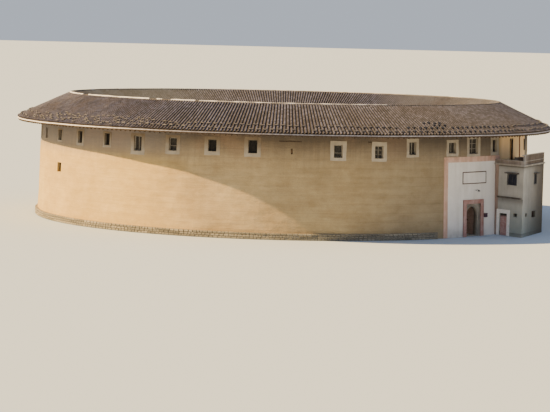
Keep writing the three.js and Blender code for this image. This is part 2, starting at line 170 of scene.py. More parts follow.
def finish(material, colour, height=None, distance=0.01):
    """Joins a colour, and a bump of a depth in real metres, to the shader."""
    shader = material.node_tree.nodes["Principled BSDF"]
    material.node_tree.links.new(colour, shader.inputs["Base Color"])
    if height is not None:
        inputs = {"Height": height, "Distance": distance * HALF, "Strength": BUMP_STRENGTH}
        bump = add_node(material, "Bump", inputs)
        material.node_tree.links.new(bump, shader.inputs["Normal"])
    return material


def grain(material, place, scale, detail=4.0, roughness=0.6, distortion=0.0, drawn=None, stops=()):
    """Specks about 1/scale metres of the real house across, drawn out by a scale for each axis,
    as a factor, or as colours where there are stops."""
    if drawn:
        place = add_node(material, "Mapping", {0: place, "Scale": drawn})
    inputs = {"Vector": place, "Scale": scale, "Detail": detail, "Roughness": roughness,
              "Distortion": distortion}
    specks = add_node(material, "TexNoise", inputs, "Fac")
    return add_node(material, "ValToRGB", [specks], stops=stops) if stops else specks


def fade(material, value, start, end, axis=None):
    """0 at one value, 1 at another and smooth between them. Of a place, it takes one axis."""
    if axis:
        value = add_node(material, "SeparateXYZ", [value], axis)
    inputs = {"Value": value, "From Min": start, "From Max": end}
    return add_node(material, "MapRange", inputs, interpolation_type="SMOOTHSTEP")


def hang_below(material, place, top, depth):
    """1 just below a level, fading to 0 a depth under it, and 0 above the level."""
    height = add_node(material, "SeparateXYZ", [place], "Z")
    under = add_node(material, "Math", (height, top), operation="LESS_THAN")
    faded = fade(material, height, top - depth, top)
    return add_node(material, "Math", (faded, under), operation="MULTIPLY")


def ring_radius(material, place):
    """How far a place is from the middle of the courtyard, seen from above."""
    flat = add_node(material, "Mapping", {0: place, "Scale": (1, 1, 0)})
    return add_node(material, "VectorMath", [flat], "Value", operation="LENGTH")


def layer(material, base, colour, *where, way="MIX"):
    """Lays a colour over a base, as far as all the factors in where say together."""
    factor = where[0]
    for other in where[1:]:
        factor = add_node(material, "Math", (factor, other), operation="MULTIPLY")
    inputs = {0: factor, 6: base, 7: colour}
    return add_node(material, "Mix", inputs, 2, data_type="RGBA", blend_type=way)


def rammed_earth():
    """Rammed earth: sandy loam packed in wooden forms. Lifts 0.4 m high leave faint level lines,
    and rain has drawn streaks down from the eave. The top darkens towards the eave, partly smoke
    and damp and partly painted shade under the eave. Painted light and shade tint the front: warmer
    on the sunlit left and yellower there below the eave's shadow, greyer above 6 m, most on the left,
    darker and bluer where the wall turns from the sun, and lighter and a warmer orange behind the
    terrace, painted against the shade of the eave there."""
    material, place = start_material("rammed_earth_wall", 0.95)
    patches = grain(material, place, 0.18, 5)
    sandy = [(0.3, "b29d79"), (0.5, "c0aa84"), (0.7, "cab58c")]
    base = add_node(material, "ValToRGB", [patches], stops=sandy)
    mottle = grain(material, place, 1.0, 6, 0.62, drawn=(0.8, 0.8, 1.1),
                   stops=[(0.3, "cfc6b8"), (0.62, "ffffff")])
    base = layer(material, base, mottle, 0.5, way="MULTIPLY")
    lifts = grain(material, place, 1.0, 3, drawn=(0.3, 0.3, 2.6))
    lift_shades = add_node(material, "ValToRGB", [lifts], stops=[(0.3, "b5a896"), (0.6, "ffffff")])
    base = layer(material, base, lift_shades, 0.22, way="MULTIPLY")
    streaks = grain(material, place, 1.0, 5, 0.65, drawn=(2.2, 2.2, 0.12))
    reach = fade(material, place, 4.5, 8.6, "Z")
    wet = add_node(material, "ValToRGB", [streaks], stops=[(0.45, "000000"), (0.68, "c0c0c0")])
    base = layer(material, base, "8c7b63", wet, reach)
    # Painted shade under the eave, partly smoke and damp: darker upwards from 6.6 m.
    base = layer(material, base, "7a7473", fade(material, place, 6.6, 9.3, "Z"), way="MULTIPLY")
    ragged = add_node(material, "Math", (streaks, 0.5), operation="ADD")
    # Painted shade and dirt: a darker band just under the eave, ragged with the streaks.
    base = layer(material, base, "51463b", hang_below(material, place, 9.6, 1.1), ragged)
    rust = add_node(material, "ValToRGB", [patches], stops=[(0.5, "000000"), (0.62, "b0b0b0")])
    base = layer(material, base, "957659", rust, reach)
    inputs = {"Vector": place, "Scale": 0.4, "Distortion": 0.8, "Detail": 2.0, "Detail Scale": 0.5}
    wave = add_node(material, "TexWave", inputs, "Fac", bands_direction="Z", wave_profile="SAW")
    seams = add_node(material, "ValToRGB", [wave], stops=[(0.0, "8c8c8c"), (0.06, "ffffff")])
    base = layer(material, base, seams, 0.28, way="MULTIPLY")
    grit = grain(material, place, 14, 3)
    grit_shades = add_node(material, "ValToRGB", [grit], stops=[(0.3, "c4bcb0"), (0.7, "ffffff")])
    base = layer(material, base, grit_shades, 0.3, way="MULTIPLY")
    # Painted light and shade round the front, by the wall's angle: a little darker, then darker and bluer,
    # where it turns from the sun, and warmer on the sunlit left; then yellower low on the left below the
    # eave's shadow, and greyer above 6 m, most on the left.
    to_front = add_node(material, "Mapping", {0: place, "Scale": (1, -1, 1)})
    x = add_node(material, "SeparateXYZ", [to_front], "X")
    forward = add_node(material, "SeparateXYZ", [to_front], "Y")
    angle = add_node(material, "Math", (x, forward), operation="ARCTAN2")
    in_front = fade(material, forward, -8.0, 4.0)
    for start, end, tint in ((-0.12, 0.12, "f2f3f4"), (0.2, 0.5, "e8ebf3"), (-0.25, -0.6, "fffbee")):
        turned = fade(material, angle, start, end)
        side = add_node(material, "Math", (turned, in_front), operation="MULTIPLY")
        base = layer(material, base, tint, side, way="MULTIPLY")
    base = layer(material, base, "ffd45c", side, fade(material, place, 7.4, 6.2, "Z"), 0.16)
    shade_grey = add_node(material, "Math", (side, 0.35, 0.14), operation="MULTIPLY_ADD")
    base = layer(material, base, "8b888b", shade_grey, fade(material, place, 6.0, 8.0, "Z"))
    # Painted light: behind the terrace the wall is made lighter and a warmer orange, against the eave's shade
    # there.
    by_terrace = fade(material, angle, math.radians(55.0), math.radians(58.5))
    before_end = add_node(material, "Math", (angle, math.radians(75.0)), operation="LESS_THAN")
    high_up = fade(material, place, 6.6, 7.0, "Z")
    base = layer(material, base, "ffd8a2", by_terrace, high_up, before_end, 0.95)
    relief = add_node(material, "Math", (lifts, 2.0, grit), operation="MULTIPLY_ADD")
    return finish(material, base, relief, 0.03)


def lime_coat(name, light, dark, stain="8f7d60", eave_shade_and_soot=False):
    """Slaked lime brushed on by hand: chalky, off white, thinner and browner in places. Round the
    windows it darkens towards the eave, most on the left, like the wall: painted shade under the
    eave, partly soot. Right of the middle it is lighter."""
    material, place = start_material(name, 0.9)
    base = grain(material, place, 1.2, 5, stops=[(0.32, dark), (0.62, light)])
    spots = grain(material, place, 7, 4, 0.7, stops=[(0.58, "000000"), (0.8, "8c8c8c")])
    base = layer(material, base, stain, spots)
    if eave_shade_and_soot:
        out_left = fade(material, place, 4, 2, "X")
        to_left = add_node(material, "Math", (out_left, 0.3), operation="MAXIMUM")
        # Painted shade under the eave, partly soot: darker towards the top, most on the left.
        high_up = fade(material, place, 7.2, 8.8, "Z")
        base = layer(material, base, "b5aa9e", high_up, to_left, way="MULTIPLY")
        lighter_right = fade(material, place, 2, 4, "X")
        base = layer(material, base, "ddd2c0", lighter_right, fade(material, place, 11, 9, "X"), 0.16)
    return finish(material, base, grain(material, place, 14, 4), 0.012)


def eave_board_lime():
    """Lime on the eave board: white at the left end, and greyer round the front and towards the right."""
    material, place = start_material("limed_eave_board", 0.9)
    base = "ebe8ee"
    for start, end, greyer_tint in ((-22.0, -7.0, "878591"), (-6.0, 2.0, "9996a1"), (7.0, 12.0, "afabb4")):
        base = layer(material, base, greyer_tint, fade(material, place, start, end, "X"))
    spots = grain(material, place, 3, 5, 0.7, stops=[(0.35, "9a9186"), (0.6, "ffffff")])
    base = layer(material, base, spots, 0.6, way="MULTIPLY")
    return finish(material, base, grain(material, place, 14, 4), 0.012)


def gate_plaster_coat():
    """Lime plaster floated smooth and painted white long ago: grey with dust, damp at its foot, with
    rain marks that run down from the top, and whiter towards the annex, as painted light against the shade
    the annex casts there."""
    material, place = start_material("aged_white_plaster", 0.88)
    base = grain(material, place, 0.6, 5, stops=[(0.3, "dcd8d4"), (0.65, "ece8e5")])
    runs = grain(material, place, 1.0, 4, drawn=(2.4, 2.4, 0.16), stops=[(0.3, "d6d0c8"), (0.62, "ffffff")])
    base = layer(material, base, runs, 0.3, way="MULTIPLY")
    blotches = add_node(material, "Math", (grain(material, place, 1.4, 5), 0.1), operation="ADD")
    base = layer(material, base, "a19b92", fade(material, place, 1.55, -0.05, "Z"), blotches)
    # Painted light: whiter towards the annex, against the annex's shade.
    base = layer(material, base, "fbf8f6", fade(material, place, 17.9, 19.3, "X"), 0.85)
    return finish(material, base, grain(material, place, 9, 4), 0.01)


def clay_tile(name, low, middle, high):
    """Unglazed grey tile, fired in a smoky kiln: each tile has its own tone, from the tone
    attribute, and lichen, dust and leaf mould have browned them. Slopes that face left are paler,
    partly dust and partly painted light, and those that face right are darker, as painted shade.
    The inner slope is bluish at the left, as painted shade where it faces from the sun, and bleached at the
    right."""
    material, place = start_material(name, 0.88)
    tone = add_node(material, "Attribute", out="Fac", attribute_name="tone")
    base = add_node(material, "ValToRGB", [tone], stops=[(0.0, low), (0.5, middle), (1.0, high)])
    past_ridge = add_node(material, "Math", (ring_radius(material, place), RIDGE_R), operation="SUBTRACT")
    slope_side = add_node(material, "Math", [past_ridge], operation="SIGN")
    x = add_node(material, "SeparateXYZ", [place], "X")
    facing_right = add_node(material, "Math", (x, slope_side), operation="MULTIPLY")
    mould = grain(material, place, 0.4, 6, 0.68, stops=[(0.3, "101010"), (0.74, "787878")])
    base = layer(material, base, "3f3c42", mould)
    # Dust and painted light: paler on slopes that face left, towards the sun.
    pale = grain(material, place, 0.9, 5, 0.7, stops=[(0.4, "404040"), (0.7, "c0c0c0")])
    base = layer(material, base, "827b80", pale, fade(material, facing_right, -6.0, -19.0))
    # Painted shade: darker on slopes that face right, away from the sun.
    base = layer(material, base, "d3d4d6", fade(material, facing_right, 5.0, 17.0), way="MULTIPLY")
    inner = add_node(material, "Math", (slope_side, 0.0), operation="LESS_THAN")
    # On the inner slope: bluish at the left, painted shade where it faces from the sun; greyer at the right.
    for start, end, tint in ((-4.0, -16.0, "525e6e"), (9.0, 14.0, "74757a")):
        base = layer(material, base, tint, inner, fade(material, place, start, end, "X"), 0.5)
    moss = grain(material, place, 0.16, 4, 0.6, 0.5, stops=[(0.36, "c9beb4"), (0.56, "ffffff")])
    base = layer(material, base, moss, 0.7, way="MULTIPLY")
    speck = grain(material, place, 9, 4, 0.7, stops=[(0.3, "8e8880"), (0.65, "ffffff")])
    base = layer(material, base, speck, 0.5, way="MULTIPLY")
    return finish(material, base, grain(material, place, 30, 3), 0.006)


def aged_timber(name, light, dark, drawn=(9, 9, 0.8)):
    """Fir left bare: silvered and brown, with the grain along its length."""
    material, place = start_material(name, 0.8)
    fibres = grain(material, place, 1.5, 5, 0.65, 0.4, drawn=drawn)
    base = add_node(material, "ValToRGB", [fibres], stops=[(0.3, dark), (0.7, light)])
    cloud = grain(material, place, 0.8, 3, stops=[(0.3, "a69d92"), (0.7, "ffffff")])
    base = layer(material, base, cloud, 0.5, way="MULTIPLY")
    return finish(material, base, fibres, 0.008)


def floor_planks():
    """Gallery floors of fir planks 0.24 m wide, laid round the ring and worn grey: dark joints
    between them, and a tone for each plank."""
    material, place = start_material("gallery_floor_planks", 0.78)
    board = add_node(material, "Math", (ring_radius(material, place), 0.24), operation="DIVIDE")
    number = add_node(material, "Math", [board], operation="FLOOR")
    tone = add_node(material, "TexWhiteNoise", {"W": number}, "Value", noise_dimensions="1D")
    browns = [(0.0, "5f4a36"), (0.5, "76603f"), (1.0, "8b7658")]
    base = add_node(material, "ValToRGB", [tone], stops=browns)
    wear = grain(material, place, 2.5, 5, 0.65, stops=[(0.3, "9f968a"), (0.65, "ffffff")])
    base = layer(material, base, wear, 0.5, way="MULTIPLY")
    across = add_node(material, "Math", [board], operation="FRACT")
    joint = add_node(material, "ValToRGB", [across], stops=[(0.0, "241a12"), (0.07, "ffffff")])
    base = layer(material, base, joint, 0.9, way="MULTIPLY")
    return finish(material, base, joint, 0.008)


def cement_render():
    """Grey cement render, floated by hand and never painted: blotchy, damp and green with algae
    below, darker low down on the right side, and streaked black with soot and rain under the ledge and the
    roof slab. Painted shade darkens the right side towards its far end, and a painted shadow lies as a dark
    line just under the roof slab."""
    material, place = start_material("grey_cement_render", 0.92)
    greys = [(0.3, "a2a09b"), (0.5, "b1aea8"), (0.72, "c0bdb6")]
    base = grain(material, place, 0.55, 6, 0.65, stops=greys)
    streaks = grain(material, place, 1.0, 5, 0.6, drawn=(1.6, 1.6, 0.3))
    stains = add_node(material, "ValToRGB", [streaks], stops=[(0.35, "a5a098"), (0.58, "ffffff")])
    base = layer(material, base, stains, 0.2, way="MULTIPLY")
    low_down = fade(material, place, 4.2, 0.4, "Z")
    blotches = add_node(material, "Math", (grain(material, place, 1.7, 5, 0.7), 0.12), operation="ADD")
    base = layer(material, base, "909b93", low_down, blotches)
    base = layer(material, base, "66655f", low_down, fade(material, place, 21.9, 22.6, "X"), 0.4)
    # Painted shade: the right side darkens towards its far end.
    base = layer(material, base, "93877a", fade(material, place, 21.7, 24.4, "X"), way="MULTIPLY")
    # Painted shadow: a dark line just under the roof slab.
    base = layer(material, base, "3a362f", hang_below(material, place, 6.49, 0.2), 0.9)
    x = add_node(material, "SeparateXYZ", [place], "X")
    door_side = add_node(material, "Math", (x, 21.87), operation="LESS_THAN")
    sheds = ((6.49, 0.5, 0.8, 1.0), (3.49, 0.7, 1.1, door_side), (0.35, 0.5, 0.9, 1.0))
    for level, depth, strength, part in sheds:
        below = hang_below(material, place, level, depth)
        base = layer(material, base, "45423c", below, streaks, strength, part)
    return finish(material, base, grain(material, place, 12, 4), 0.012)


def weathered_concrete(name, light, dark, streaky=0.6, far_side_tint="ffffff"):
    """Cast concrete out in the rain: brown-grey, streaked black with algae from its top, washed
    pale at the annex's front corner, and darker beyond it."""
    material, place = start_material(name, 0.93)
    base = grain(material, place, 0.9, 6, 0.68, stops=[(0.32, dark), (0.66, light)])
    streaks = grain(material, place, 1.0, 5, 0.7, drawn=(3.0, 3.0, 0.35),
                    stops=[(0.36, "7f7a74"), (0.6, "ffffff")])
    base = layer(material, base, streaks, streaky, way="MULTIPLY")
    corner = fade(material, place, 21.5, 21.75, "X")
    base = layer(material, base, "a9a6a3", corner, fade(material, place, 22.2, 21.95, "X"), 0.5)
    base = layer(material, base, far_side_tint, fade(material, place, 22.0, 22.6, "X"), way="MULTIPLY")
    return finish(material, base, grain(material, place, 14, 4), 0.012)


def recess_render():
    """Grey render round the gate's arch, darker inside the passage as painted shade."""
    material, place = start_material("gate_recess_render", 0.9)
    base = grain(material, place, 1.2, 5, stops=[(0.32, "8a837a"), (0.62, "a8a197")])
    # Painted shade: darker deeper inside the passage.
    inside = fade(material, ring_radius(material, place), 23.93, 23.72)
    base = layer(material, base, "a0958a", inside, way="MULTIPLY")
    return finish(material, base, grain(material, place, 14, 4), 0.012)


def dressed_granite():
    """Granite blocks cut square with a point chisel: grey, finely speckled with black mica, and
    dulled by hands and dust."""
    material, place = start_material("dressed_gate_granite", 0.85)
    base = grain(material, place, 0.8, 5, stops=[(0.3, "827c74"), (0.66, "9a948a")])
    mica = grain(material, place, 40, 3, 0.75, stops=[(0.36, "6e6a66"), (0.52, "ffffff")])
    base = layer(material, base, mica, 0.6, way="MULTIPLY")
    return finish(material, base, grain(material, place, 26, 3), 0.008)


def plain_paint(name, colour, worn, roughness, wear=0.55, shadow_above=0.0):
    """Oil paint brushed on wood or plaster, chalked and rubbed through in spots, and on a door a
    painted shadow, near black, above a level, under the frame's head."""
    material, place = start_material(name, roughness)
    base = grain(material, place, 5, 5, 0.7, stops=[(wear - 0.12, colour), (wear + 0.12, worn)])
    if shadow_above:
        # Painted shadow under the frame's head.
        under_head = fade(material, place, shadow_above - 0.15, shadow_above + 0.1, "Z")
        base = layer(material, base, "2b2522", under_head)
    return finish(material, base, grain(material, place, 20, 3), 0.004)


def oxide_wash(name, colour, faded):
    """Red iron oxide in lime water, brushed over the plaster: strong where it lies thick, faded
    to a dusty pink by sun and rain."""
    material, place = start_material(name, 0.92)
    base = grain(material, place, 0.9, 6, 0.66, stops=[(0.34, colour), (0.62, faded)])
    runs = grain(material, place, 1.0, 4, drawn=(3.0, 3.0, 0.25), stops=[(0.36, "b5aca6"), (0.6, "ffffff")])
    base = layer(material, base, runs, 0.35, way="MULTIPLY")
    return finish(material, base, grain(material, place, 14, 4), 0.01)


def window_glass(name, dark, dusty):
    """Old sheet glass in front of an unlit room: nearly black, as painted shade of the dark room
    behind it, with hardly a reflection left under its dust, which is why its IOR is low."""
    material, place = start_material(name, 0.4, ior=1.2)
    return finish(material, grain(material, place, 6, 4, stops=[(0.35, dark), (0.75, dusty)]))


def field_stone(name, low, middle, high):
    """River cobbles and split stone, laid by hand: each stone has its own tone, in the tone
    attribute, and a flecked, water-worn face."""
    material, place = start_material(name, 0.9)
    tone = add_node(material, "Attribute", out="Fac", attribute_name="tone")
    base = add_node(material, "ValToRGB", [tone], stops=[(0.0, low), (0.5, middle), (1.0, high)])
    fleck = grain(material, place, 12, 5, 0.7)
    flecks = add_node(material, "ValToRGB", [fleck], stops=[(0.3, "8f8b84"), (0.65, "ffffff")])
    base = layer(material, base, flecks, 0.6, way="MULTIPLY")
    return finish(material, base, fleck, 0.02)


def rusted_iron():
    """Wrought iron bars and studs, painted black once: rusty brown where the paint has gone."""
    material, place = start_material("rusted_wrought_iron", 0.7, metallic=0.4)
    base = grain(material, place, 22, 4, 0.7, stops=[(0.42, "2e2926"), (0.62, "5a4032")])
    return finish(material, base, grain(material, place, 60, 3), 0.002)


EARTH = rammed_earth()
LIME = lime_coat("lime_wash_surround", "b3a999", "9b9082", eave_shade_and_soot=True)
BOARD_LIME = eave_board_lime()
RIDGE_LIME = lime_coat("lime_mortar_ridge", "d0d2dc", "b3b4be", "7c7676")
PLASTER = gate_plaster_coat()
RED_WASH = oxide_wash("red_surround_wash", "a47670", "be9e97")
FADED_WASH = oxide_wash("faded_border_wash", "c99f8b", "dab9a9")
STRIP_WASH = oxide_wash("dusty_annex_strip", "947d72", "a48f85")
COVER_TILE = clay_tile("grey_cover_tile", "3b3e50", "4d5069", "636683")
RIDGE_TILE = clay_tile("browned_ridge_tile", "4d4b4c", "605d5d", "737070")
# The pan tiles are near black, far darker than the covers: painted shade in the channels between the cover
# rows.
PAN_TILE = clay_tile("grey_pan_tile", "231f1f", "2c2827", "363131")
TIMBER = aged_timber("bare_fir_timber", "8a6a49", "4f3b29")
ROOF_BOARDS = aged_timber("roof_boards", "5e4a36", "352a20", (5, 5, 5))
DARK_PLANK = aged_timber("smoked_plank", "574636", "35291f", (5, 5, 5))
RED_TIMBER = aged_timber("red_stained_post", "8a4a30", "54291d")
SASH = aged_timber("weathered_sash_wood", "b3ada3", "857e74")
FLOOR = floor_planks()
CEMENT = cement_render()
PARAPET = weathered_concrete("rain_blackened_parapet", "9b8f89", "746b66", 0.35, "c0b6a8")
SLAB = weathered_concrete("cast_roof_slab", "b4aca2", "8f877e", 0.3)
# Dark render for the hoods and the ledge: partly soot, partly painted shade.
SOOT_AND_SHADE_CEMENT = weathered_concrete("soot_and_shade_ledge_render", "6b655e", "46413c")
GRANITE = dressed_granite()
GLASS = window_glass("dark_window_glass", "1c1a1a", "302c28")
DUSTY_GLASS = window_glass("dusty_window_glass", "2f2d2b", "4b4742")
BLUE_GLASS = window_glass("blue_black_window_glass", "282a34", "3a3c47")
STONE = field_stone("footing_field_stone", "6f6a60", "8d877a", "a9a08f")
MORTAR = field_stone("footing_lime_mortar", "8a8070", "8a8070", "8a8070")
GATE_PAINT = plain_paint("gate_red_lacquer", "93786c", "ab9184", 0.6)
DOOR_PAINT = plain_paint("faded_door_paint", "a97d77", "bfa29b", 0.6, shadow_above=1.8)
WHITE_PAINT = plain_paint("white_door_trim", "efebe6", "cfc8c0", 0.7, 0.62)
IRON = rusted_iron()
BRICK = plain_paint("old_weight_brick", "626167", "4d4c52", 0.9)
ENAMEL = plain_paint("lamp_shade_enamel", "2c2f2e", "4a4a46", 0.45)
LAMP_GLASS = plain_paint("frosted_lamp_glass", "cfcabd", "bab3a2", 0.35, 0.7)
GATE_CEMENT = recess_render()
DARK_LINE = plain_paint("faded_plaque_outline", "55403d", "77605c", 0.9, 0.7)
LETTER_BOX_PAINT = plain_paint("letter_box_enamel", "4a3040", "63485a", 0.5)
DARK_SASH = plain_paint("smoked_window_frame", "3a3630", "57514a", 0.7)
BLUE_SASH = plain_paint("blue_black_window_frame", "24262f", "373944", 0.6)


# Building and placing pieces

BEND_STEP = 0.6  # how far along the wall a bent piece runs straight


def settle(bm, name, material, smooth=False, body=HOUSE):
    """Halves a finished bmesh and makes it a piece that rides on a body."""
    bmesh.ops.scale(bm, vec=(HALF, HALF, HALF), verts=bm.verts)
    mesh = bpy.data.meshes.new(name)
    bm.to_mesh(mesh)
    bm.free()
    if smooth:
        mesh.shade_smooth()
    mesh.materials.append(material)
    piece = bpy.data.objects.new(name, mesh)
    bpy.context.scene.collection.objects.link(piece)
    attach(piece, body)
    return piece


def add_box(bm, size, place=(0, 0, 0), frame_matrix=Matrix.Identity(4)):
    """A box of a size whose middle is at a place in a frame; returns its vertices."""
    scale = Matrix.Diagonal((*size, 1))
    matrix = frame_matrix @ Matrix.Translation(place) @ scale
    return bmesh.ops.create_cube(bm, size=1, matrix=matrix)["verts"]


def add_rod(bm, radius, start, end, sides=10, frame_matrix=Matrix.Identity(4)):
    """A round bar between two points."""
    start, end = Vector(start), Vector(end)
    aim = (end - start).to_track_quat("Z", "Y").to_matrix().to_4x4()
    matrix = frame_matrix @ Matrix.Translation((start + end) / 2) @ aim
    return bmesh.ops.create_cone(bm, cap_ends=True, segments=sides, radius1=radius, radius2=radius,
                                 depth=(end - start).length, matrix=matrix)["verts"]


def add_slab(bm, left, right, low, high, near, far):
    """A box in flat wall coordinates: x along the wall, -y out of its face, from a depth off the
    face to another, cut along x into steps short enough to bend."""
    width = right - left
    verts = add_box(bm, (width, far - near, high - low), ((left + right) / 2, -(near + far) / 2,
                                                          (low + high) / 2))
    steps = math.ceil(width / BEND_STEP)
    if steps > 1:
        edges = {edge for vert in verts for edge in vert.link_edges}
        along = [e for e in edges if abs(e.verts[0].co.x - e.verts[1].co.x) > width / 2]
        bmesh.ops.subdivide_edges(bm, edges=along, cuts=steps - 1, use_grid_fill=True)


def wrap(bm, angle):
    """Bends a bmesh in flat wall coordinates onto the ring wall, with its x = 0 at an angle."""
    for vert in bm.verts:
        radius = wall_radius(vert.co.z) - vert.co.y
        around = math.radians(angle) + vert.co.x / WALL_BASE_R
        vert.co.x, vert.co.y = radius * math.sin(around), -radius * math.cos(around)


def along_wall(angle, middle=GATE):
    """How far along the wall an angle is from another one, in flat wall coordinates."""
    return math.radians(angle - middle) * WALL_BASE_R


def soften(bm, offset):
    """Rubs the edges of every box in a bmesh off by a small bevel."""
    bmesh.ops.bevel(bm, geom=bm.edges, offset=offset, offset_type="OFFSET", segments=1,
                    profile=0.5, affect="EDGES", material=-1)


def repeat_round(bm, count):
    """Repeats what a bmesh holds at even steps round the ring."""
    bmesh.ops.spin(bm, geom=bm.verts[:] + bm.edges[:] + bm.faces[:], axis=(0, 0, 1),
                   angle=2 * math.pi * (count - 1) / count, steps=count - 1, use_duplicate=True)


def spin_ring(bm, section, steps):
    """A closed ring from its section, given as (radius, height) points."""
    verts = [bm.verts.new((0, -radius, z)) for radius, z in section]
    edges = [bm.edges.new(pair) for pair in zip(verts, verts[1:] + verts[:1])]
    bmesh.ops.spin(bm, geom=verts + edges, axis=(0, 0, 1), angle=2 * math.pi, steps=steps,
                   use_merge=True)
    bmesh.ops.recalc_face_normals(bm, faces=bm.faces)


def shade_each(piece, faces_per_item):
    """Gives each item of a joined mesh, such as a stone, a shade of its own."""
    mesh = piece.data
    items = len(mesh.polygons) // faces_per_item
    shades = np.random.default_rng(RANDOM_SEED).random(items)
    tone = mesh.attributes.new("tone", "FLOAT", "FACE")
    tone.data.foreach_set("value", np.repeat(shades, faces_per_item))


def shade_tiles(piece, across, along):
    """Gives each tile its own shade, from its row round the ring and its step down the slope."""
    mesh = piece.data
    count = len(mesh.polygons)
    centres = np.empty(count * 3)
    mesh.polygons.foreach_get("center", centres)
    x, y, _ = centres.reshape(-1, 3).T / HALF
    rows = np.round(np.arctan2(x, -y) / (2 * math.pi) * across).astype(int) % across
    steps = np.floor(np.abs(np.hypot(x, y) - RIDGE_R) / along).astype(int)
    shades = np.random.default_rng(RANDOM_SEED).random((across, steps.max() + 1))
    tone = mesh.attributes.new("tone", "FLOAT", "FACE")
    tone.data.foreach_set("value", shades[rows, steps])


# The earth wall

WALL_STEPS = 360
WALL_ROWS = 30
STANDARD = {"width": 0.82, "low": 7.45, "high": 8.55}
# Each front window: its angle, width, sill, head and joinery, and the width of its lime margin.
FRONT_WINDOWS = [
    (-71.0, 0.75, 7.6, 8.6, "plain", 0.0),
    (-61.0, 0.8, 7.62, 8.6, "plain", 0.14),
    (-51.5, 0.72, 7.58, 8.68, "plain", 0.24),
    (-42.0, 0.7, 7.6, 8.68, "plain", 0.2),
    (-33.1, 0.88, 7.28, 8.62, "mullion", 0.33),
    (-24.3, 0.8, 7.47, 8.63, "rail", 0.33),
    (-15.3, 0.78, 7.58, 8.6, "plain", 0.35),
    (-6.6, 0.8, 7.53, 8.68, "plain", 0.35),
    (11.45, 0.78, 7.29, 8.4, "rail", 0.34),
    (20.5, 0.82, 7.25, 8.36, "grid", 0.32),
    (28.5, 0.75, 7.56, 8.7, "mullion", 0.27),
    (39.3, 0.9, 7.63, 8.64, "mullion", 0.3),
    (46.15, 1.3, 7.52, 8.93, "grid", 0.32),
    (54.3, 0.8, 7.63, 8.73, "plain", 0.34),
]
WINDOWS = [dict(zip(("at", "width", "low", "high", "look", "margin"), row)) for row in FRONT_WINDOWS]
WINDOWS += [{"at": 74.5 + BAY * i, **STANDARD, "look": "mullion", "margin": 0.31} for i in range(24)]
WINDOWS[len(FRONT_WINDOWS)]["margin"] = 0.0  # the first one past the terrace has none
SLIT = {"at": 1.6, "width": 0.17, "low": 7.54, "high": 8.01}
LOW_WINDOW = {"at": -60.85, "width": 0.88, "low": 4.65, "high": 5.53, "look": "plain"}
TERRACE_DOOR = {"at": 63.05, "width": 0.86, "low": THIRD_FLOOR, "high": 8.74}
GATE_BLOCK = {"at": GATE, "width": 2.38, "low": -1, "high": 3.2}
# Over a window and under it, the margin is this much of its width at the sides.
LEFT_MARGINS, RIGHT_MARGINS = (0.75, 0.95), (1.1, 0.8)
CALM_REACH = 0.5  # the wall lies even this far round a window, and waves freely at twice that
WAVES = ((2.5, 0.05), (0.7, 0.02))  # the size and the depth of the wall's unevenness


def cut(piece, bm, name):
    """Cuts a bmesh of closed boxes out of a piece."""
    mesh = bpy.data.meshes.new(name)
    bmesh.ops.scale(bm, vec=(HALF, HALF, HALF), verts=bm.verts)
    bm.to_mesh(mesh)
    bm.free()
    tool = bpy.data.objects.new(name, mesh)
    bpy.context.scene.collection.objects.link(tool)
    modifier = piece.modifiers.new("cut", "BOOLEAN")
    modifier.operation = "DIFFERENCE"
    modifier.solver = "EXACT"
    modifier.object = tool
    graph = bpy.context.evaluated_depsgraph_get()
    done = bpy.data.meshes.new_from_object(piece.evaluated_get(graph))
    piece.modifiers.clear()
    old = piece.data
    piece.data = done
    bpy.data.meshes.remove(old)
    bpy.data.objects.remove(tool)


def freedom(point, holes):
    """How freely the wall's face may wave at a point: 0 at windows and the gate front, else 1."""
    angle = angle_of(point)
    beside_gate = max(GATE_FRONT[0] - angle, angle - GATE_FRONT[1], 0) * 0.5
    free = min(beside_gate, 1.0)
    for hole in holes:
        across = abs(math.radians((angle - hole["at"] + 180) % 360 - 180)) * WALL_BASE_R - hole["width"] / 2
        up = max(hole["low"] - point.z, point.z - hole["high"], 0)
        reach = math.hypot(max(across, 0), up)
        free = min(free, max(reach / CALM_REACH - 1, 0))
    return free


def build_wall():
    bm = bmesh.new()
    top_z = roof_height(WALL_TOP_R) - ROOF_DEPTH - 0.01
    outer = [(wall_radius(top_z * i / WALL_ROWS), top_z * i / WALL_ROWS) for i in range(WALL_ROWS + 1)]
    inner_top = roof_height(WALL_INNER_R) - ROOF_DEPTH - 0.01
    spin_ring(bm, [*outer, (WALL_INNER_R, inner_top), (WALL_INNER_R, THIRD_FLOOR), (WALL_INNER_R, 0.0)],
              WALL_STEPS)
    holes = [*WINDOWS, SLIT, LOW_WINDOW]
    for vert in bm.verts:
        if vert.co.xy.length > WALL_TOP_R - 0.05 and 0.1 < vert.co.z < top_z - 0.1:
            free = freedom(vert.co, holes)
            outward = Vector((vert.co.x, vert.co.y, 0)).normalized()
            wave = sum(noise.noise(vert.co / size) * depth for size, depth in WAVES)
            vert.co += outward * wave * free
    names = [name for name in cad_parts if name.startswith(("earth_wall", "gate_wall"))]
    wall = settle(bm, "rammed_earth_wall", EARTH)
    cutters = bmesh.new()
    for hole in [*holes, TERRACE_DOOR, GATE_BLOCK]:
        size = (hole["width"], 3, hole["high"] - hole["low"])
        add_box(cutters, size, (0, 0, 0), spot(23.6, hole["at"], (hole["low"] + hole["high"]) / 2))
    cut(wall, cutters, "window_cutters")
    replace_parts(wall, *names)


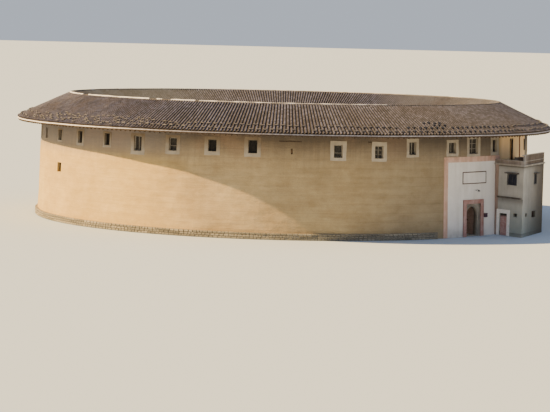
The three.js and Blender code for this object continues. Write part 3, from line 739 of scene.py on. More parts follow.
def build_surrounds():
    """Lime margins brushed by hand round each window, with lime-washed reveals."""
    bm = bmesh.new()
    shake = random.Random(RANDOM_SEED)
    for window in WINDOWS:
        side = window["margin"]
        if not side:
            continue
        half = window["width"] / 2
        over, under = RIGHT_MARGINS if 0 < window["at"] < GATE_FRONT[0] else LEFT_MARGINS
        xs = [-half - side, -half, half, half + side]
        zs = [window["low"] - side * under, window["low"], window["high"], window["high"] + side * over]
        part = bmesh.new()
        made = bmesh.ops.create_grid(part, x_segments=3, y_segments=3, size=0.5)["verts"]
        for vert in made:
            column, row = round((vert.co.x + 0.5) * 3), round((vert.co.y + 0.5) * 3)
            loose = 0.03 if column in (0, 3) or row in (0, 3) else 0.0
            z = zs[row] + shake.uniform(-loose, loose)
            x = xs[column] + shake.uniform(-loose, loose)
            vert.co = (x, -0.022, z)
        middle = [f for f in part.faces if abs(f.calc_center_median().x) < half
                  and window["low"] < f.calc_center_median().z < window["high"]]
        rim = list(middle[0].edges)
        bmesh.ops.delete(part, geom=middle, context="FACES_ONLY")
        outline = [e for e in part.edges if e.is_boundary and e not in rim]
        reveal = bmesh.ops.extrude_edge_only(part, edges=rim)["geom"]
        deep = [v for v in reveal if isinstance(v, bmesh.types.BMVert)]
        bmesh.ops.translate(part, verts=deep, vec=(0, 0.36, 0))
        back = bmesh.ops.extrude_edge_only(part, edges=outline)["geom"]
        sunk = [v for v in back if isinstance(v, bmesh.types.BMVert)]
        bmesh.ops.translate(part, verts=sunk, vec=(0, 0.08, 0))
        bmesh.ops.recalc_face_normals(part, faces=part.faces)
        wrap(part, window["at"])
        join(bm, part)
    settle(bm, "lime_window_surrounds", LIME)


def join(bm, part):
    """Adds a finished part to a bmesh and frees it."""
    mesh = bpy.data.meshes.new("part")
    part.to_mesh(mesh)
    part.free()
    bm.from_mesh(mesh)
    bpy.data.meshes.remove(mesh)


SASH_BAR = 0.06
SASH_SETBACK = 0.26  # from the wall's face to the sash


def build_joinery():
    """Sashes: a wooden frame in each window with its bars, and dark glass behind them. Those with
    a single pane are black with smoke, the others a bleached grey."""
    for kind, finish, pane in (("single_pane", DARK_SASH, GLASS), ("barred", SASH, DUSTY_GLASS)):
        wood, glass = bmesh.new(), bmesh.new()
        for window in [*WINDOWS, LOW_WINDOW]:
            if (window["look"] == "plain") == (kind == "single_pane"):
                tall = window["high"] - window["low"]
                radius = wall_radius(window["low"]) - SASH_SETBACK
                place = spot(radius, window["at"], window["low"] + tall / 2)
                add_sash(wood, glass, place, window["width"], tall, window["look"])
        soften(wood, 0.006)
        settle(wood, kind + "_sashes", finish)
        settle(glass, kind + "_panes", pane)


def add_sash(wood, glass, place, width, tall, look):
    """A sash in a frame whose -Y looks out: look is plain, rail, mullion or grid."""
    bar = SASH_BAR
    for x in (-(width - bar) / 2, (width - bar) / 2):
        add_box(wood, (bar, bar, tall), (x, 0, 0), place)
    for z in (-(tall - bar) / 2, (tall - bar) / 2):
        add_box(wood, (width - 2 * bar, bar, bar), (0, 0, z), place)
    if look in ("mullion", "grid"):
        add_box(wood, (bar * 0.8, bar * 0.8, tall - 2 * bar), (0, 0, 0), place)
    if look in ("rail", "grid"):
        levels = (-tall / 6, tall / 6) if look == "grid" else (-tall / 8,)
        for z in levels:
            add_box(wood, (width - 2 * bar, bar * 0.6, bar * 0.6), (0, 0, z), place)
    add_box(glass, (width, 0.02, tall), (0, bar / 2, 0), place)


# Two smoked planks let into the wall under the eave: angle from, angle to, and level.
EAVE_PLANKS = [(-1.1, 3.6, 8.65), (18.0, 18.8, 8.67)]
TERRACE_POST = {"at": 68.9, "width": 0.24, "low": 6.5, "high": 9.2}


def build_wall_timbers():
    """The planks under the eave, a red-stained post against the wall of the terrace, and the frame
    and the boarded door of the doorway that opens onto it."""
    planks = bmesh.new()
    for start, end, level in EAVE_PLANKS:
        part = bmesh.new()
        add_slab(part, along_wall(start, start), along_wall(end, start), level - 0.05, level + 0.04,
                 -0.05, 0.05)
        wrap(part, start)
        join(planks, part)
    soften(planks, 0.008)
    settle(planks, "smoked_eave_planks", DARK_PLANK)
    post = bmesh.new()
    add_slab(post, -TERRACE_POST["width"] / 2, TERRACE_POST["width"] / 2, TERRACE_POST["low"],
             TERRACE_POST["high"], -0.05, 0.05)
    wrap(post, TERRACE_POST["at"])
    soften(post, 0.01)
    settle(post, "terrace_post", RED_TIMBER)
    door = TERRACE_DOOR
    tall = door["high"] - door["low"]
    wood = bmesh.new()
    outer = spot(wall_radius(door["low"]) - 0.1, door["at"], door["low"])
    for x in (-(door["width"] - 0.08) / 2, (door["width"] - 0.08) / 2):
        add_box(wood, (0.08, 0.12, tall), (x, 0, tall / 2), outer)
    add_box(wood, (door["width"] - 0.16, 0.12, 0.1), (0, 0, tall - 0.05), outer)
    inner = spot(WALL_INNER_R + 0.12, door["at"], door["low"])
    boards = 5
    pitch = door["width"] / boards
    for i in range(boards):
        add_box(wood, (pitch * 0.96, 0.05, tall - 0.02), ((i - (boards - 1) / 2) * pitch, 0, tall / 2), inner)
    soften(wood, 0.008)
    settle(wood, "terrace_doorway_joinery", DARK_PLANK)


# The footing, of field stones in three courses

STONE_COURSES = 3
STONE_LENGTH = (0.26, 0.52)


def build_footing_stones():
    """Split field stones bedded in lime mortar, laid round the wall up to the gate front."""
    bm = bmesh.new()
    shake = random.Random(RANDOM_SEED)
    course_height = FOOTING_HEIGHT / STONE_COURSES
    first, last = GATE_FRONT[1] + 0.3, 360 + GATE_FRONT[0] - 0.3
    for course in range(STONE_COURSES):
        angle = first + shake.uniform(0, 0.5)
        while True:
            length = shake.uniform(*STONE_LENGTH)
            span = math.degrees(length / FOOTING_R)
            if angle + span > last:
                break
            z = course_height * (course + 0.5) + shake.uniform(-0.008, 0.008)
            size = (length * 0.94, 0.22, course_height * shake.uniform(0.86, 0.98))
            roll = Matrix.Rotation(shake.uniform(-0.05, 0.05), 4, "Y")
            radius = FOOTING_R - 0.075 + shake.uniform(-0.012, 0.012)
            add_box(bm, size, (0, 0, 0), spot(radius, angle + span / 2, z) @ roll)
            angle += span
    for vert in bm.verts:
        vert.co.z = max(vert.co.z, 0.004)
    soften(bm, 0.035)
    stones = settle(bm, "footing_stones", STONE)
    shade_each(stones, 26)


# The roof

OUTER_ROWS = 530
INNER_ROWS = 476
TILE_LENGTH = 0.24
TILE_STEP = 0.018  # how far a tile's lower end stands over the one below it
COVER_WIDTH = 0.155
COVER_RISE = 0.075
COVER_LIFT = 0.045
PAN_LIFT = 0.012
PAN_SIDE_LIFT = 0.05
EAVE_OVERHANG = 0.08


def slope(outer):
    """The foot and the head of a slope as (radius, height), the foot a little past its eave."""
    foot = OUTER_EAVE_R + EAVE_OVERHANG if outer else INNER_EAVE_R - EAVE_OVERHANG
    return (foot, roof_height(foot)), (RIDGE_R, RIDGE_Z)


def tile_row(section, outer, lift):
    """One row of lapped tiles from the eave to the ridge, at angle 0, from its points across."""
    (foot_r, foot_z), (head_r, head_z) = slope(outer)
    run, rise = head_r - foot_r, head_z - foot_z
    tiles = round(math.hypot(run, rise) / TILE_LENGTH)
    bm = bmesh.new()
    verts = [bm.verts.new((x, 0, h)) for x, h in section]
    edges = [bm.edges.new(pair) for pair in zip(verts, verts[1:])]
    levels = []
    for i in range(tiles):
        levels += [(i / tiles, TILE_STEP), ((i + 1) / tiles, 0.0)]
    strips = [verts]
    for _ in levels[1:]:
        made = bmesh.ops.extrude_edge_only(bm, edges=edges)["geom"]
        edges = [g for g in made if isinstance(g, bmesh.types.BMEdge) and g.is_boundary
                 and len(g.link_faces) == 1 and all(v in made for v in g.verts)]
        strips.append([g for g in made if isinstance(g, bmesh.types.BMVert)])
    for strip, (part, raised) in zip(strips, levels):
        for vert in strip:
            vert.co.y = -foot_r - run * part
            vert.co.z += foot_z + rise * part + lift + raised
    return bm


def build_tiles(outer):
    """The cover tiles and the pan tiles of one slope, laid by hand: rows waver a little."""
    rows = OUTER_ROWS if outer else INNER_ROWS
    side = "outer" if outer else "inner"
    half, shoulder = COVER_WIDTH / 2, COVER_WIDTH * 0.31
    top = COVER_RISE * 0.85
    arc = [(half, 0.0), (shoulder, top), (-shoulder, top), (-half, 0.0)]
    half_pitch = math.pi * max(slope(outer)[0][0], RIDGE_R) / rows
    trough = [(half_pitch, PAN_SIDE_LIFT), (0.0, 0.0), (-half_pitch, PAN_SIDE_LIFT)]
    shake = random.Random(RANDOM_SEED + rows)
    for name, section, lift, turned, finish in (
        (side + "_cover_tiles", arc, COVER_LIFT, 0.0, COVER_TILE),
        (side + "_pan_tiles", trough, PAN_LIFT, 180 / rows, PAN_TILE),
    ):
        bm = tile_row(section, outer, lift)
        repeat_round(bm, rows)
        bmesh.ops.rotate(bm, cent=(0, 0, 0), matrix=turn(turned), verts=bm.verts)
        waver = [shake.uniform(-1, 1) for _ in range(rows)]
        for vert in bm.verts:
            row = round((angle_of(vert.co) - turned) / 360 * rows) % rows
            vert.co.z += 0.025 * noise.noise(vert.co / 1.6) + 0.006 * waver[row]
        bmesh.ops.recalc_face_normals(bm, faces=bm.faces)
        bmesh.ops.reverse_faces(bm, faces=[f for f in bm.faces if f.normal.z < -0.2])
        piece = settle(bm, name, finish)
        shade_tiles(piece, rows, TILE_LENGTH * 0.9)


# Where the lime on the ridge still lies, from an angle to an angle, and how thick it is.
LIMED_RIDGE = [
    (-83, -64.4, 1.2), (-60.6, -35.6, 1.2), (-33.2, -31.6, 1.1), (-29.0, -22.3, 1.1),
    (-21.3, 25.6, 1.0), (43.0, 47.5, 0.7), (119, 125, 1.0), (142.0, 204.8, 1.0),
    (231, 236, 1.0), (247, 251, 1.0),
]
RIDGE_TILE_STEP = 0.5  # degrees that a ridge tile takes


def build_ridge():
    """Tiles laid crosswise over the ridge, and on them a band of lime mortar, gone in places."""
    tiles = bmesh.new()
    half, span = 0.15, math.radians(RIDGE_TILE_STEP)
    section = [(half, -0.045), (0.09, 0.085), (-0.09, 0.085), (-half, -0.045)]
    verts = [tiles.verts.new((0, -(RIDGE_R + out), RIDGE_Z + up)) for out, up in section]
    edges = [tiles.edges.new(pair) for pair in zip(verts, verts[1:] + verts[:1])]
    made = bmesh.ops.spin(tiles, geom=verts + edges, axis=(0, 0, 1), angle=span * 1.1, steps=1)["geom_last"]
    for vert in made:
        if isinstance(vert, bmesh.types.BMVert):
            vert.co.z += 0.018
    bmesh.ops.holes_fill(tiles, edges=[e for e in tiles.edges if e.is_boundary])
    bmesh.ops.recalc_face_normals(tiles, faces=tiles.faces)
    count = round(360 / RIDGE_TILE_STEP)
    repeat_round(tiles, count)
    ridge = settle(tiles, "ridge_tiles", RIDGE_TILE)
    shade_each(ridge, 6)
    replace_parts(ridge, "lime_ridge")
    band = bmesh.new()
    section = [(0.13, 0.02), (0.1, 0.115), (0.045, 0.14), (-0.045, 0.14), (-0.1, 0.115), (-0.13, 0.02)]
    for start, end, thick in LIMED_RIDGE:
        verts = [band.verts.new((0, -(RIDGE_R + out), RIDGE_Z - abs(out) * 0.4 + up * thick))
                 for out, up in section]
        edges = [band.edges.new(pair) for pair in zip(verts, verts[1:] + verts[:1])]
        bmesh.ops.rotate(band, cent=(0, 0, 0), matrix=turn(start), verts=verts)
        bmesh.ops.spin(band, geom=verts + edges, axis=(0, 0, 1), angle=math.radians(end - start),
                       steps=math.ceil((end - start) / 0.5))
    bmesh.ops.holes_fill(band, edges=[e for e in band.edges if e.is_boundary])
    for vert in band.verts:
        rough = noise.noise(vert.co / 0.8) * 0.03 + noise.noise(vert.co / 0.25) * 0.012
        vert.co.z += rough if vert.co.z > RIDGE_Z else 0
    bmesh.ops.recalc_face_normals(band, faces=band.faces)
    settle(band, "lime_ridge_band", RIDGE_LIME)


BATTEN_LOW, BOARD_LOW, BOARD_HIGH = 9.23, 9.31, 9.405


def build_eave_board():
    """The limed board that closes the tiles' ends at the outer eave, nailed on in bent lengths,
    and the bare batten behind its lower edge, dark as painted shade of the line under the board."""
    near = OUTER_EAVE_R + 0.005
    for name, finish, slot, low, high, out in (
        ("limed_eave_board", BOARD_LIME, "lime", BOARD_LOW, BOARD_HIGH, 0.055),
        # The dark batten stands for the shadow line under the board: painted shade.
        ("bare_eave_batten", DARK_PLANK, "timber", BATTEN_LOW, BOARD_LOW, 0.03),
    ):
        bm = bmesh.new()
        spin_ring(bm, [(near, low), (near + out, low), (near + out, high), (near, high)], 480)
        for vert in bm.verts:
            vert.co.z += 0.02 * noise.noise(Vector((vert.co.x, vert.co.y, 0)) / 3.5)
        piece = settle(bm, name, finish)
        if out > 0.05:
            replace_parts(piece, "eave_board")


BRICK_LINES = (0.06, 0.2)  # how far up the slope the two lines of bricks lie
BRICK_SIZE = (0.38, 0.13, 0.07)
# More lines of bricks where the tiles slip: angle from, angle to, and how far up the slope.
MORE_BRICKS = [(-66.0, -20.0, 0.12), (-60.0, -30.0, 0.27), (26.5, 33.0, 0.36), (27.0, 33.0, 0.28)]


def build_roof_bricks():
    """Bricks laid across from one cover row to the next, which weigh the tiles down."""
    bm = bmesh.new()
    shake = random.Random(RANDOM_SEED)
    pitch = 360 / OUTER_ROWS
    lean = Matrix.Rotation(-math.atan2(RIDGE_Z - EAVE_Z, OUTER_EAVE_R - RIDGE_R), 4, "X")
    lines = [(-180.0, 180.0, part) for part in BRICK_LINES] + MORE_BRICKS
    for line, (start, end, part) in enumerate(lines):
        for pair in range(round(start / pitch / 2), round(end / pitch / 2)):
            angle = pitch * (2 * pair + 0.5 + line)
            untidy = 0.045 if abs(angle + 45) < 25 else 0.014
            if shake.random() < 0.1 + 3 * (untidy - 0.014):
                continue
            radius = OUTER_EAVE_R + (RIDGE_R - OUTER_EAVE_R) * (part + shake.uniform(-untidy, untidy))
            place = spot(radius, angle + shake.uniform(-0.06, 0.06), roof_height(radius) + 0.16)
            tilt = lean @ Matrix.Rotation(shake.uniform(-0.12, 0.12), 4, "Z")
            size = (BRICK_SIZE[0] * shake.uniform(0.85, 1.1), *BRICK_SIZE[1:])
            add_box(bm, size, (0, 0, 0), place @ tilt)
    soften(bm, 0.012)
    pieces = settle(bm, "roof_weight_bricks", BRICK)
    shade_each(pieces, 26)


RAFTERS = 320
PURLIN_R = 25.0


def build_rafters():
    """Rafters under both eaves, and the ring purlin and its brackets that carry the outer ones."""
    bm = bmesh.new()
    for near, far in ((WALL_TOP_R - 0.2, OUTER_EAVE_R - 0.03), (INNER_EAVE_R + 0.03, POST_R + 0.3)):
        middle = (near + far) / 2
        lift = roof_height(middle) - ROOF_DEPTH - 0.07
        pitch = math.atan2(roof_height(far) - roof_height(near), far - near)
        place = Matrix.Translation((0, -middle, lift)) @ Matrix.Rotation(-pitch, 4, "X")
        part = bmesh.new()
        add_box(part, (0.08, (far - near) / math.cos(pitch), 0.11), (0, 0, 0), place)
        repeat_round(part, RAFTERS)
        join(bm, part)
    settle(bm, "rafter_ends", ROOF_BOARDS)
    under = roof_height(PURLIN_R) - ROOF_DEPTH - 0.15
    purlin = bmesh.new()
    spin_ring(purlin, [(PURLIN_R - 0.07, under - 0.14), (PURLIN_R + 0.07, under - 0.14),
                       (PURLIN_R + 0.07, under), (PURLIN_R - 0.07, under)], 240)
    brackets = bmesh.new()
    add_box(brackets, (0.13, PURLIN_R + 0.22 - WALL_TOP_R + 0.2, 0.16),
            (0, -(PURLIN_R + 0.22 + WALL_TOP_R - 0.2) / 2, under - 0.22), turn(1.4))
    soften(brackets, 0.01)
    repeat_round(brackets, 80)
    join(purlin, brackets)
    settle(purlin, "eave_purlin_and_brackets", ROOF_BOARDS)


# The gate front, in flat wall coordinates with x = 0 at the gate

PANEL = {"left": -3.42, "right": 3.55, "top": 6.82, "out": 0.04}
BORDER = {"left": -3.886, "right": 4.393, "top": 7.3, "out": 0.05}
SURROUND = {"half": 1.465, "top": 3.38, "out": 0.1}
RECESS = {"half": 1.04, "top": 3.0}
ROOTED = -0.02  # where the coats of plaster start, a little behind the wall's face
PLAQUE = {"left": -1.563, "right": 1.9, "low": 4.82, "high": 5.93}
ARCH = {"half": 0.775, "spring": 1.95, "face": 23.95}


def build_gate_front():
    """Plaster floated on the gate front, its faded border, the red surround with its two bands,
    and the bare name plaque in its thin dark frame."""
    panel = bmesh.new()
    half, top = RECESS["half"], RECESS["top"]
    for left, right, low in ((PANEL["left"], -half, 0.0), (half, PANEL["right"], 0.0), (-half, half, top)):
        add_slab(panel, left, right, low, PANEL["top"], ROOTED, PANEL["out"])
    wrap(panel, GATE)
    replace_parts(settle(panel, "gate_plaster_panel", PLASTER), "gate_plaster")
    border = bmesh.new()
    add_slab(border, BORDER["left"], PANEL["left"], 0.0, PANEL["top"], ROOTED, BORDER["out"])
    add_slab(border, BORDER["left"], BORDER["right"], PANEL["top"], BORDER["top"], ROOTED, BORDER["out"])
    wrap(border, GATE)
    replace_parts(settle(border, "faded_red_border", FADED_WASH), "red_border")
    surround = bmesh.new()
    outer = SURROUND["half"]
    bands = ((half, outer, SURROUND["out"]), (outer - 0.1, outer, 0.13), (half, half + 0.08, 0.12))
    for inner_edge, outer_edge, out in bands:
        head = top + (outer_edge - half) * (SURROUND["top"] - top) / (outer - half)
        foot = top + (inner_edge - half) * (SURROUND["top"] - top) / (outer - half)
        for side in (-1, 1):
            left, right = sorted((side * inner_edge, side * outer_edge))
            add_slab(surround, left, right, 0.0, head, ROOTED, out)
        add_slab(surround, -inner_edge, inner_edge, foot, head, ROOTED, out)
    wrap(surround, GATE)
    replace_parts(settle(surround, "moulded_red_surround", RED_WASH), "gate_surround")
    plaque, frame_strips = bmesh.new(), bmesh.new()
    left, right, low, high = PLAQUE["left"], PLAQUE["right"], PLAQUE["low"], PLAQUE["high"]
    add_slab(plaque, left + 0.02, right - 0.02, low + 0.02, high - 0.02, ROOTED, 0.062)
    wrap(plaque, GATE)
    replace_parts(settle(plaque, "bare_name_plaque", PLASTER), "name_plaque")
    line = 0.08
    over, under = low + line, high - line
    for strip in ((left, right, low, over), (left, right, under, high),
                  (left, left + line, over, under), (right - line, right, over, under)):
        add_slab(frame_strips, *strip, 0.03, 0.078)
    wrap(frame_strips, GATE)
    settle(frame_strips, "plaque_frame_lines", DARK_LINE)


def build_gate_stones():
    """Granite blocks round the arch: jambs in five courses and nine wedge-cut arch stones."""
    bm = bmesh.new()
    place = spot(ARCH["face"], GATE)
    half, spring = ARCH["half"], ARCH["spring"]
    reach = RECESS["half"] - 0.02
    joint, proud = 0.012, 0.02
    courses = 5
    height = spring / courses
    for side in (-1, 1):
        for course in range(courses):
            size = (reach - half, 0.12, height - joint)
            add_box(bm, size, (side * (half + reach) / 2, 0.06 - proud, height * (course + 0.5)), place)
    wedges = 9
    for wedge in range(wedges):
        start = math.pi * wedge / wedges + joint / reach / 2
        part = bmesh.new()
        corners = [(half, -proud), (reach, -proud), (reach, 0.12 - proud), (half, 0.12 - proud)]
        verts = [part.verts.new((x, y, spring)) for x, y in corners]
        face = part.faces.new(verts)
        bmesh.ops.rotate(part, cent=(0, 0, spring), matrix=Matrix.Rotation(-start, 4, "Y"), verts=verts)
        bmesh.ops.spin(part, geom=[*verts, *face.edges, face], cent=(0, 0, spring), axis=(0, -1, 0),
                       angle=math.pi / wedges - joint / reach, steps=2)
        bmesh.ops.recalc_face_normals(part, faces=part.faces)
        bmesh.ops.transform(part, matrix=place, verts=part.verts)
        join(bm, part)
    soften(bm, 0.006)
    settle(bm, "arch_granite_blocks", GRANITE)


LEAF = {"reach": 0.888, "behind": 0.03, "foot": 0.012, "height": 2.68, "pin": 0.024, "pin_top": 2.748}
PIVOT = {"x": 0.894, "radius": 23.544, "foot": 0.1006}
PLANKS = 6
PLANK_DEPTH = 0.045
LEDGE_DEPTH = 0.02
LEDGE_LEVELS = (0.35, 1.3, 2.3)
STUD_ROWS = 7
STUD_R = 0.02
KNOCKER_HEIGHT = 1.3


def build_gate_leaf(name, node, side):
    """A leaf of upright planks with ledges behind, iron studs and a ring to pull: its outer face
    is towards the other leaf while the gate stands open."""
    place = spot(PIVOT["radius"], GATE, PIVOT["foot"]) @ Matrix.Translation((side * PIVOT["x"], 0, 0))
    wood, iron = bmesh.new(), bmesh.new()
    tall, low = LEAF["height"], LEAF["foot"]
    span = LEAF["reach"] + LEAF["behind"]
    pitch = span / PLANKS
    face = -side * LEAF["behind"]  # x of the outer face
    back = -face
    for plank in range(PLANKS):
        y = pitch * (plank + 0.5) - LEAF["behind"]
        x = face - math.copysign(PLANK_DEPTH / 2, face)
        add_box(wood, (PLANK_DEPTH, pitch - 0.003, tall), (x, y, low + tall / 2), place)
    for level in LEDGE_LEVELS:
        x = back - math.copysign(LEDGE_DEPTH / 2, back)
        add_box(wood, (LEDGE_DEPTH, span - 0.1, 0.12), (x, span / 2 - 0.03, level), place)
    soften(wood, 0.007)
    add_rod(wood, LEAF["pin"], (0, 0, 0), (0, 0, LEAF["pin_top"]), 16, place)
    for row in range(STUD_ROWS):
        level = 0.25 + row * (tall - 0.45) / (STUD_ROWS - 1)
        for plank in range(PLANKS):
            centre = (face, pitch * (plank + 0.5) - LEAF["behind"], level)
            stud = place @ Matrix.Translation(centre) @ Matrix.Diagonal((0.7, 1, 1, 1))
            bmesh.ops.create_uvsphere(iron, u_segments=8, v_segments=6, radius=STUD_R, matrix=stud)
    knocker = Vector((face, LEAF["reach"] - 0.14, KNOCKER_HEIGHT))
    outward = Vector((math.copysign(1, face), 0, 0))
    add_rod(iron, 0.055, knocker - outward * 0.004, knocker + outward * 0.006, 20, place)
    add_rod(iron, 0.012, knocker, knocker + outward * 0.022, 10, place)
    ring = bmesh.new()
    bmesh.ops.create_circle(ring, segments=8, radius=0.006, matrix=Matrix.Translation((0.045, 0, 0)))
    bmesh.ops.spin(ring, geom=ring.verts[:] + ring.edges[:], axis=(0, 1, 0), cent=(0, 0, 0),
                   angle=2 * math.pi, steps=24, use_merge=True)
    hang = Matrix.Translation(knocker + outward * 0.016 - Vector((0, 0, 0.04)))
    turned = Matrix.Rotation(math.pi / 2, 4, "Z")
    bmesh.ops.transform(ring, matrix=place @ hang @ turned, verts=ring.verts)
    bmesh.ops.recalc_face_normals(ring, faces=ring.faces)
    join(iron, ring)
    body = name + "_gate_leaf"
    leaf = settle(wood, name + "_leaf_planks", GATE_PAINT, body=body)
    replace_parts(leaf, node)
    settle(iron, name + "_leaf_ironwork", IRON, body=body)


LAMP = {"at": 46.95, "height": 4.2}
LETTER_BOX = {"at": 50.35, "low": 1.69, "high": 2.03, "width": 0.4}


def build_gate_fittings():
    """A lamp with an enamelled shade on a bent arm over the gate, and a letter box beside it."""
    place = spot(wall_radius(LAMP["height"]), LAMP["at"], LAMP["height"])
    metal, bulb = bmesh.new(), bmesh.new()
    add_rod(metal, 0.05, (0, 0.02, 0), (0, -0.06, 0), 16, place)
    add_rod(metal, 0.014, (0, -0.05, 0), (0, -0.24, 0.1), 8, place)
    add_rod(metal, 0.014, (0, -0.24, 0.1), (0, -0.36, 0.04), 8, place)
    shade = place @ Matrix.Translation((0, -0.36, 0.0))
    made = bmesh.ops.create_cone(metal, cap_ends=False, segments=24, radius1=0.15, radius2=0.03,
                                 depth=0.12, matrix=shade)["verts"]
    bmesh.ops.solidify(metal, geom=list({f for v in made for f in v.link_faces}), thickness=0.006)
    bmesh.ops.create_uvsphere(bulb, u_segments=16, v_segments=10, radius=0.05,
                              matrix=shade @ Matrix.Translation((0, 0, -0.05)))
    bmesh.ops.recalc_face_normals(metal, faces=metal.faces)
    settle(metal, "gate_lamp_shade_and_arm", ENAMEL)
    settle(bulb, "gate_lamp_bulb", LAMP_GLASS, smooth=True)
    box = bmesh.new()
    low, high, width = LETTER_BOX["low"], LETTER_BOX["high"], LETTER_BOX["width"]
    place = spot(wall_radius(low), LETTER_BOX["at"], (low + high) / 2)
    tall = high - low
    add_box(box, (width, 0.18, tall), (0, -0.1, 0), place)
    soften(box, 0.008)
    add_box(box, (width + 0.05, 0.22, 0.03), (0, -0.11, tall / 2 + 0.012), place)
    add_box(box, (width * 0.6, 0.012, 0.02), (0, -0.192, tall * 0.2), place)
    settle(box, "sheet_iron_letter_box", LETTER_BOX_PAINT)


# The annex

ANNEX_STARTS = [(19.1, -13.43), (21.853, -16.988), (24.45, -10.97), (21.2, -9.53)]
ANNEX_HEEL = 0.9
ANNEX_WALL = 0.24
ANNEX_TOP = 6.63
ANNEX_SLAB = 0.15
PARAPET_LOW, PARAPET_HIGH = 6.95, 7.5
PARAPET_DEPTH = 0.18
ANNEX_WINDOWS = [
    {"side": 0, "from": 1.55, "width": 1.13, "low": 4.7, "high": 5.76, "look": "mullion"},
    {"side": 1, "from": 3.48, "width": 0.74, "low": 4.71, "high": 5.64, "look": "plain"},
]
ANNEX_VENTS = [
    {"side": 0, "from": 2.4, "width": 0.5, "low": 1.83, "high": 2.15},
    {"side": 1, "from": 0.9, "width": 0.64, "low": 1.83, "high": 2.15},
    {"side": 1, "from": 3.02, "width": 1.2, "low": 1.62, "high": 2.23},
]
ANNEX_DOOR = {"from": 0.63, "width": 0.99, "height": 2.04, "frame": 0.36}
RED_STRIP = 0.36
# Caps of dark render on the hoods and the ledge, partly soot and partly painted shade: side, from, width,
# low, high and how far out.
ANNEX_LEDGES = [
    (0, 1.4, 1.62, 5.77, 5.85, 0.3),
    (1, 3.3, 1.1, 5.68, 5.76, 0.3),
    (0, 0.33, 3.16, 3.48, 3.6, 0.12),
]
CASING = 0.06


def annex_side(side):
    """The frame of an outer side of the annex: x along it, -y out of its face."""
    start, end = Vector(ANNEX_STARTS[side]), Vector(ANNEX_STARTS[side + 1])
    along = end - start
    offset = ANNEX_HEEL if side == 0 else 0.0
    aim = Matrix.Rotation(math.atan2(along.y, along.x), 4, "Z")
    return Matrix.Translation((*start, 0)) @ aim @ Matrix.Translation((offset, 0, 0))


def add_to_side(bm, side, left, right, low, high, inside, outside):
    """A box set against a side of the annex, from a depth inside its face to one outside."""
    size = (right - left, inside + outside, high - low)
    place = ((left + right) / 2, (inside - outside) / 2, (low + high) / 2)
    return add_box(bm, size, place, annex_side(side))


def build_annex_openings():
    """Wooden windows under the annex's roof, with sills, and iron bars in its low vents."""
    wood, glass, iron, sills = bmesh.new(), bmesh.new(), bmesh.new(), bmesh.new()
    for window in ANNEX_WINDOWS:
        side, left, width = window["side"], window["from"], window["width"]
        low, high = window["low"], window["high"]
        place = annex_side(side) @ Matrix.Translation((left + width / 2, 0.07, (low + high) / 2))
        add_sash(wood, glass, place, width, high - low, window["look"])
        add_to_side(sills, side, left - 0.07, left + width + 0.07, low - 0.07, low - 0.01, 0.1, 0.06)
        for start in (left - CASING, left + width):
            add_to_side(wood, side, start, start + CASING, low, high, 0.02, 0.02)
    for vent in ANNEX_VENTS:
        side = annex_side(vent["side"])
        bars = round(vent["width"] / 0.11)
        for bar in range(1, bars):
            x = vent["from"] + vent["width"] * bar / bars
            add_rod(iron, 0.009, (x, 0.12, vent["low"] - 0.02), (x, 0.12, vent["high"] + 0.02), 8, side)
        middle = (vent["low"] + vent["high"]) / 2
        start, end = vent["from"] - 0.02, vent["from"] + vent["width"] + 0.02
        add_rod(iron, 0.009, (start, 0.12, middle), (end, 0.12, middle), 8, side)
    soften(wood, 0.006)
    soften(sills, 0.008)
    settle(wood, "annex_window_frames", BLUE_SASH)
    settle(glass, "annex_window_panes", BLUE_GLASS)
    settle(iron, "annex_vent_bars", IRON)
    settle(sills, "annex_window_sills", CEMENT)


def build_annex_trim():
    """The strip washed red beside the gate front, the copings of the parapet, and dark caps on the hoods and
    the ledge, partly soot and partly painted shade.
    """
    strip = bmesh.new()
    add_to_side(strip, 0, -0.1, RED_STRIP, 0.0, ANNEX_TOP - ANNEX_SLAB - 0.005, 0.02, 0.006)
    settle(strip, "annex_red_washed_strip", STRIP_WASH)
    coping = bmesh.new()
    left_end = (Vector(ANNEX_STARTS[1]) - Vector(ANNEX_STARTS[0])).length - ANNEX_HEEL
    right_end = (Vector(ANNEX_STARTS[2]) - Vector(ANNEX_STARTS[1])).length
    add_to_side(coping, 0, -0.05, left_end - PARAPET_DEPTH, PARAPET_LOW, PARAPET_LOW + 0.05,
                PARAPET_DEPTH + 0.025, 0.025)
    add_to_side(coping, 1, -0.02, right_end + 0.02, PARAPET_LOW - 0.02, PARAPET_LOW + 0.03, 0.05, 0.03)
    add_to_side(coping, 1, -0.02, right_end + 0.02, PARAPET_HIGH, PARAPET_HIGH + 0.05,
                PARAPET_DEPTH + 0.025, 0.025)
    add_to_side(coping, 2, PARAPET_DEPTH, 2.45, PARAPET_LOW, PARAPET_LOW + 0.05, PARAPET_DEPTH + 0.025, 0.025)
    soften(coping, 0.01)
    settle(coping, "parapet_coping", SLAB)
    caps = bmesh.new()
    for side, start, width, low, high, out in ANNEX_LEDGES:
        left, right = start - 0.01, start + width + 0.01
        add_to_side(caps, side, left, right, low - 0.008, high + 0.012, 0.02, out + 0.01)
    soften(caps, 0.01)
    settle(caps, "soot_and_shade_ledge_caps", SOOT_AND_SHADE_CEMENT)


DOOR_PIN = 0.05  # from the opening's edge to the pin
STILE = 0.11


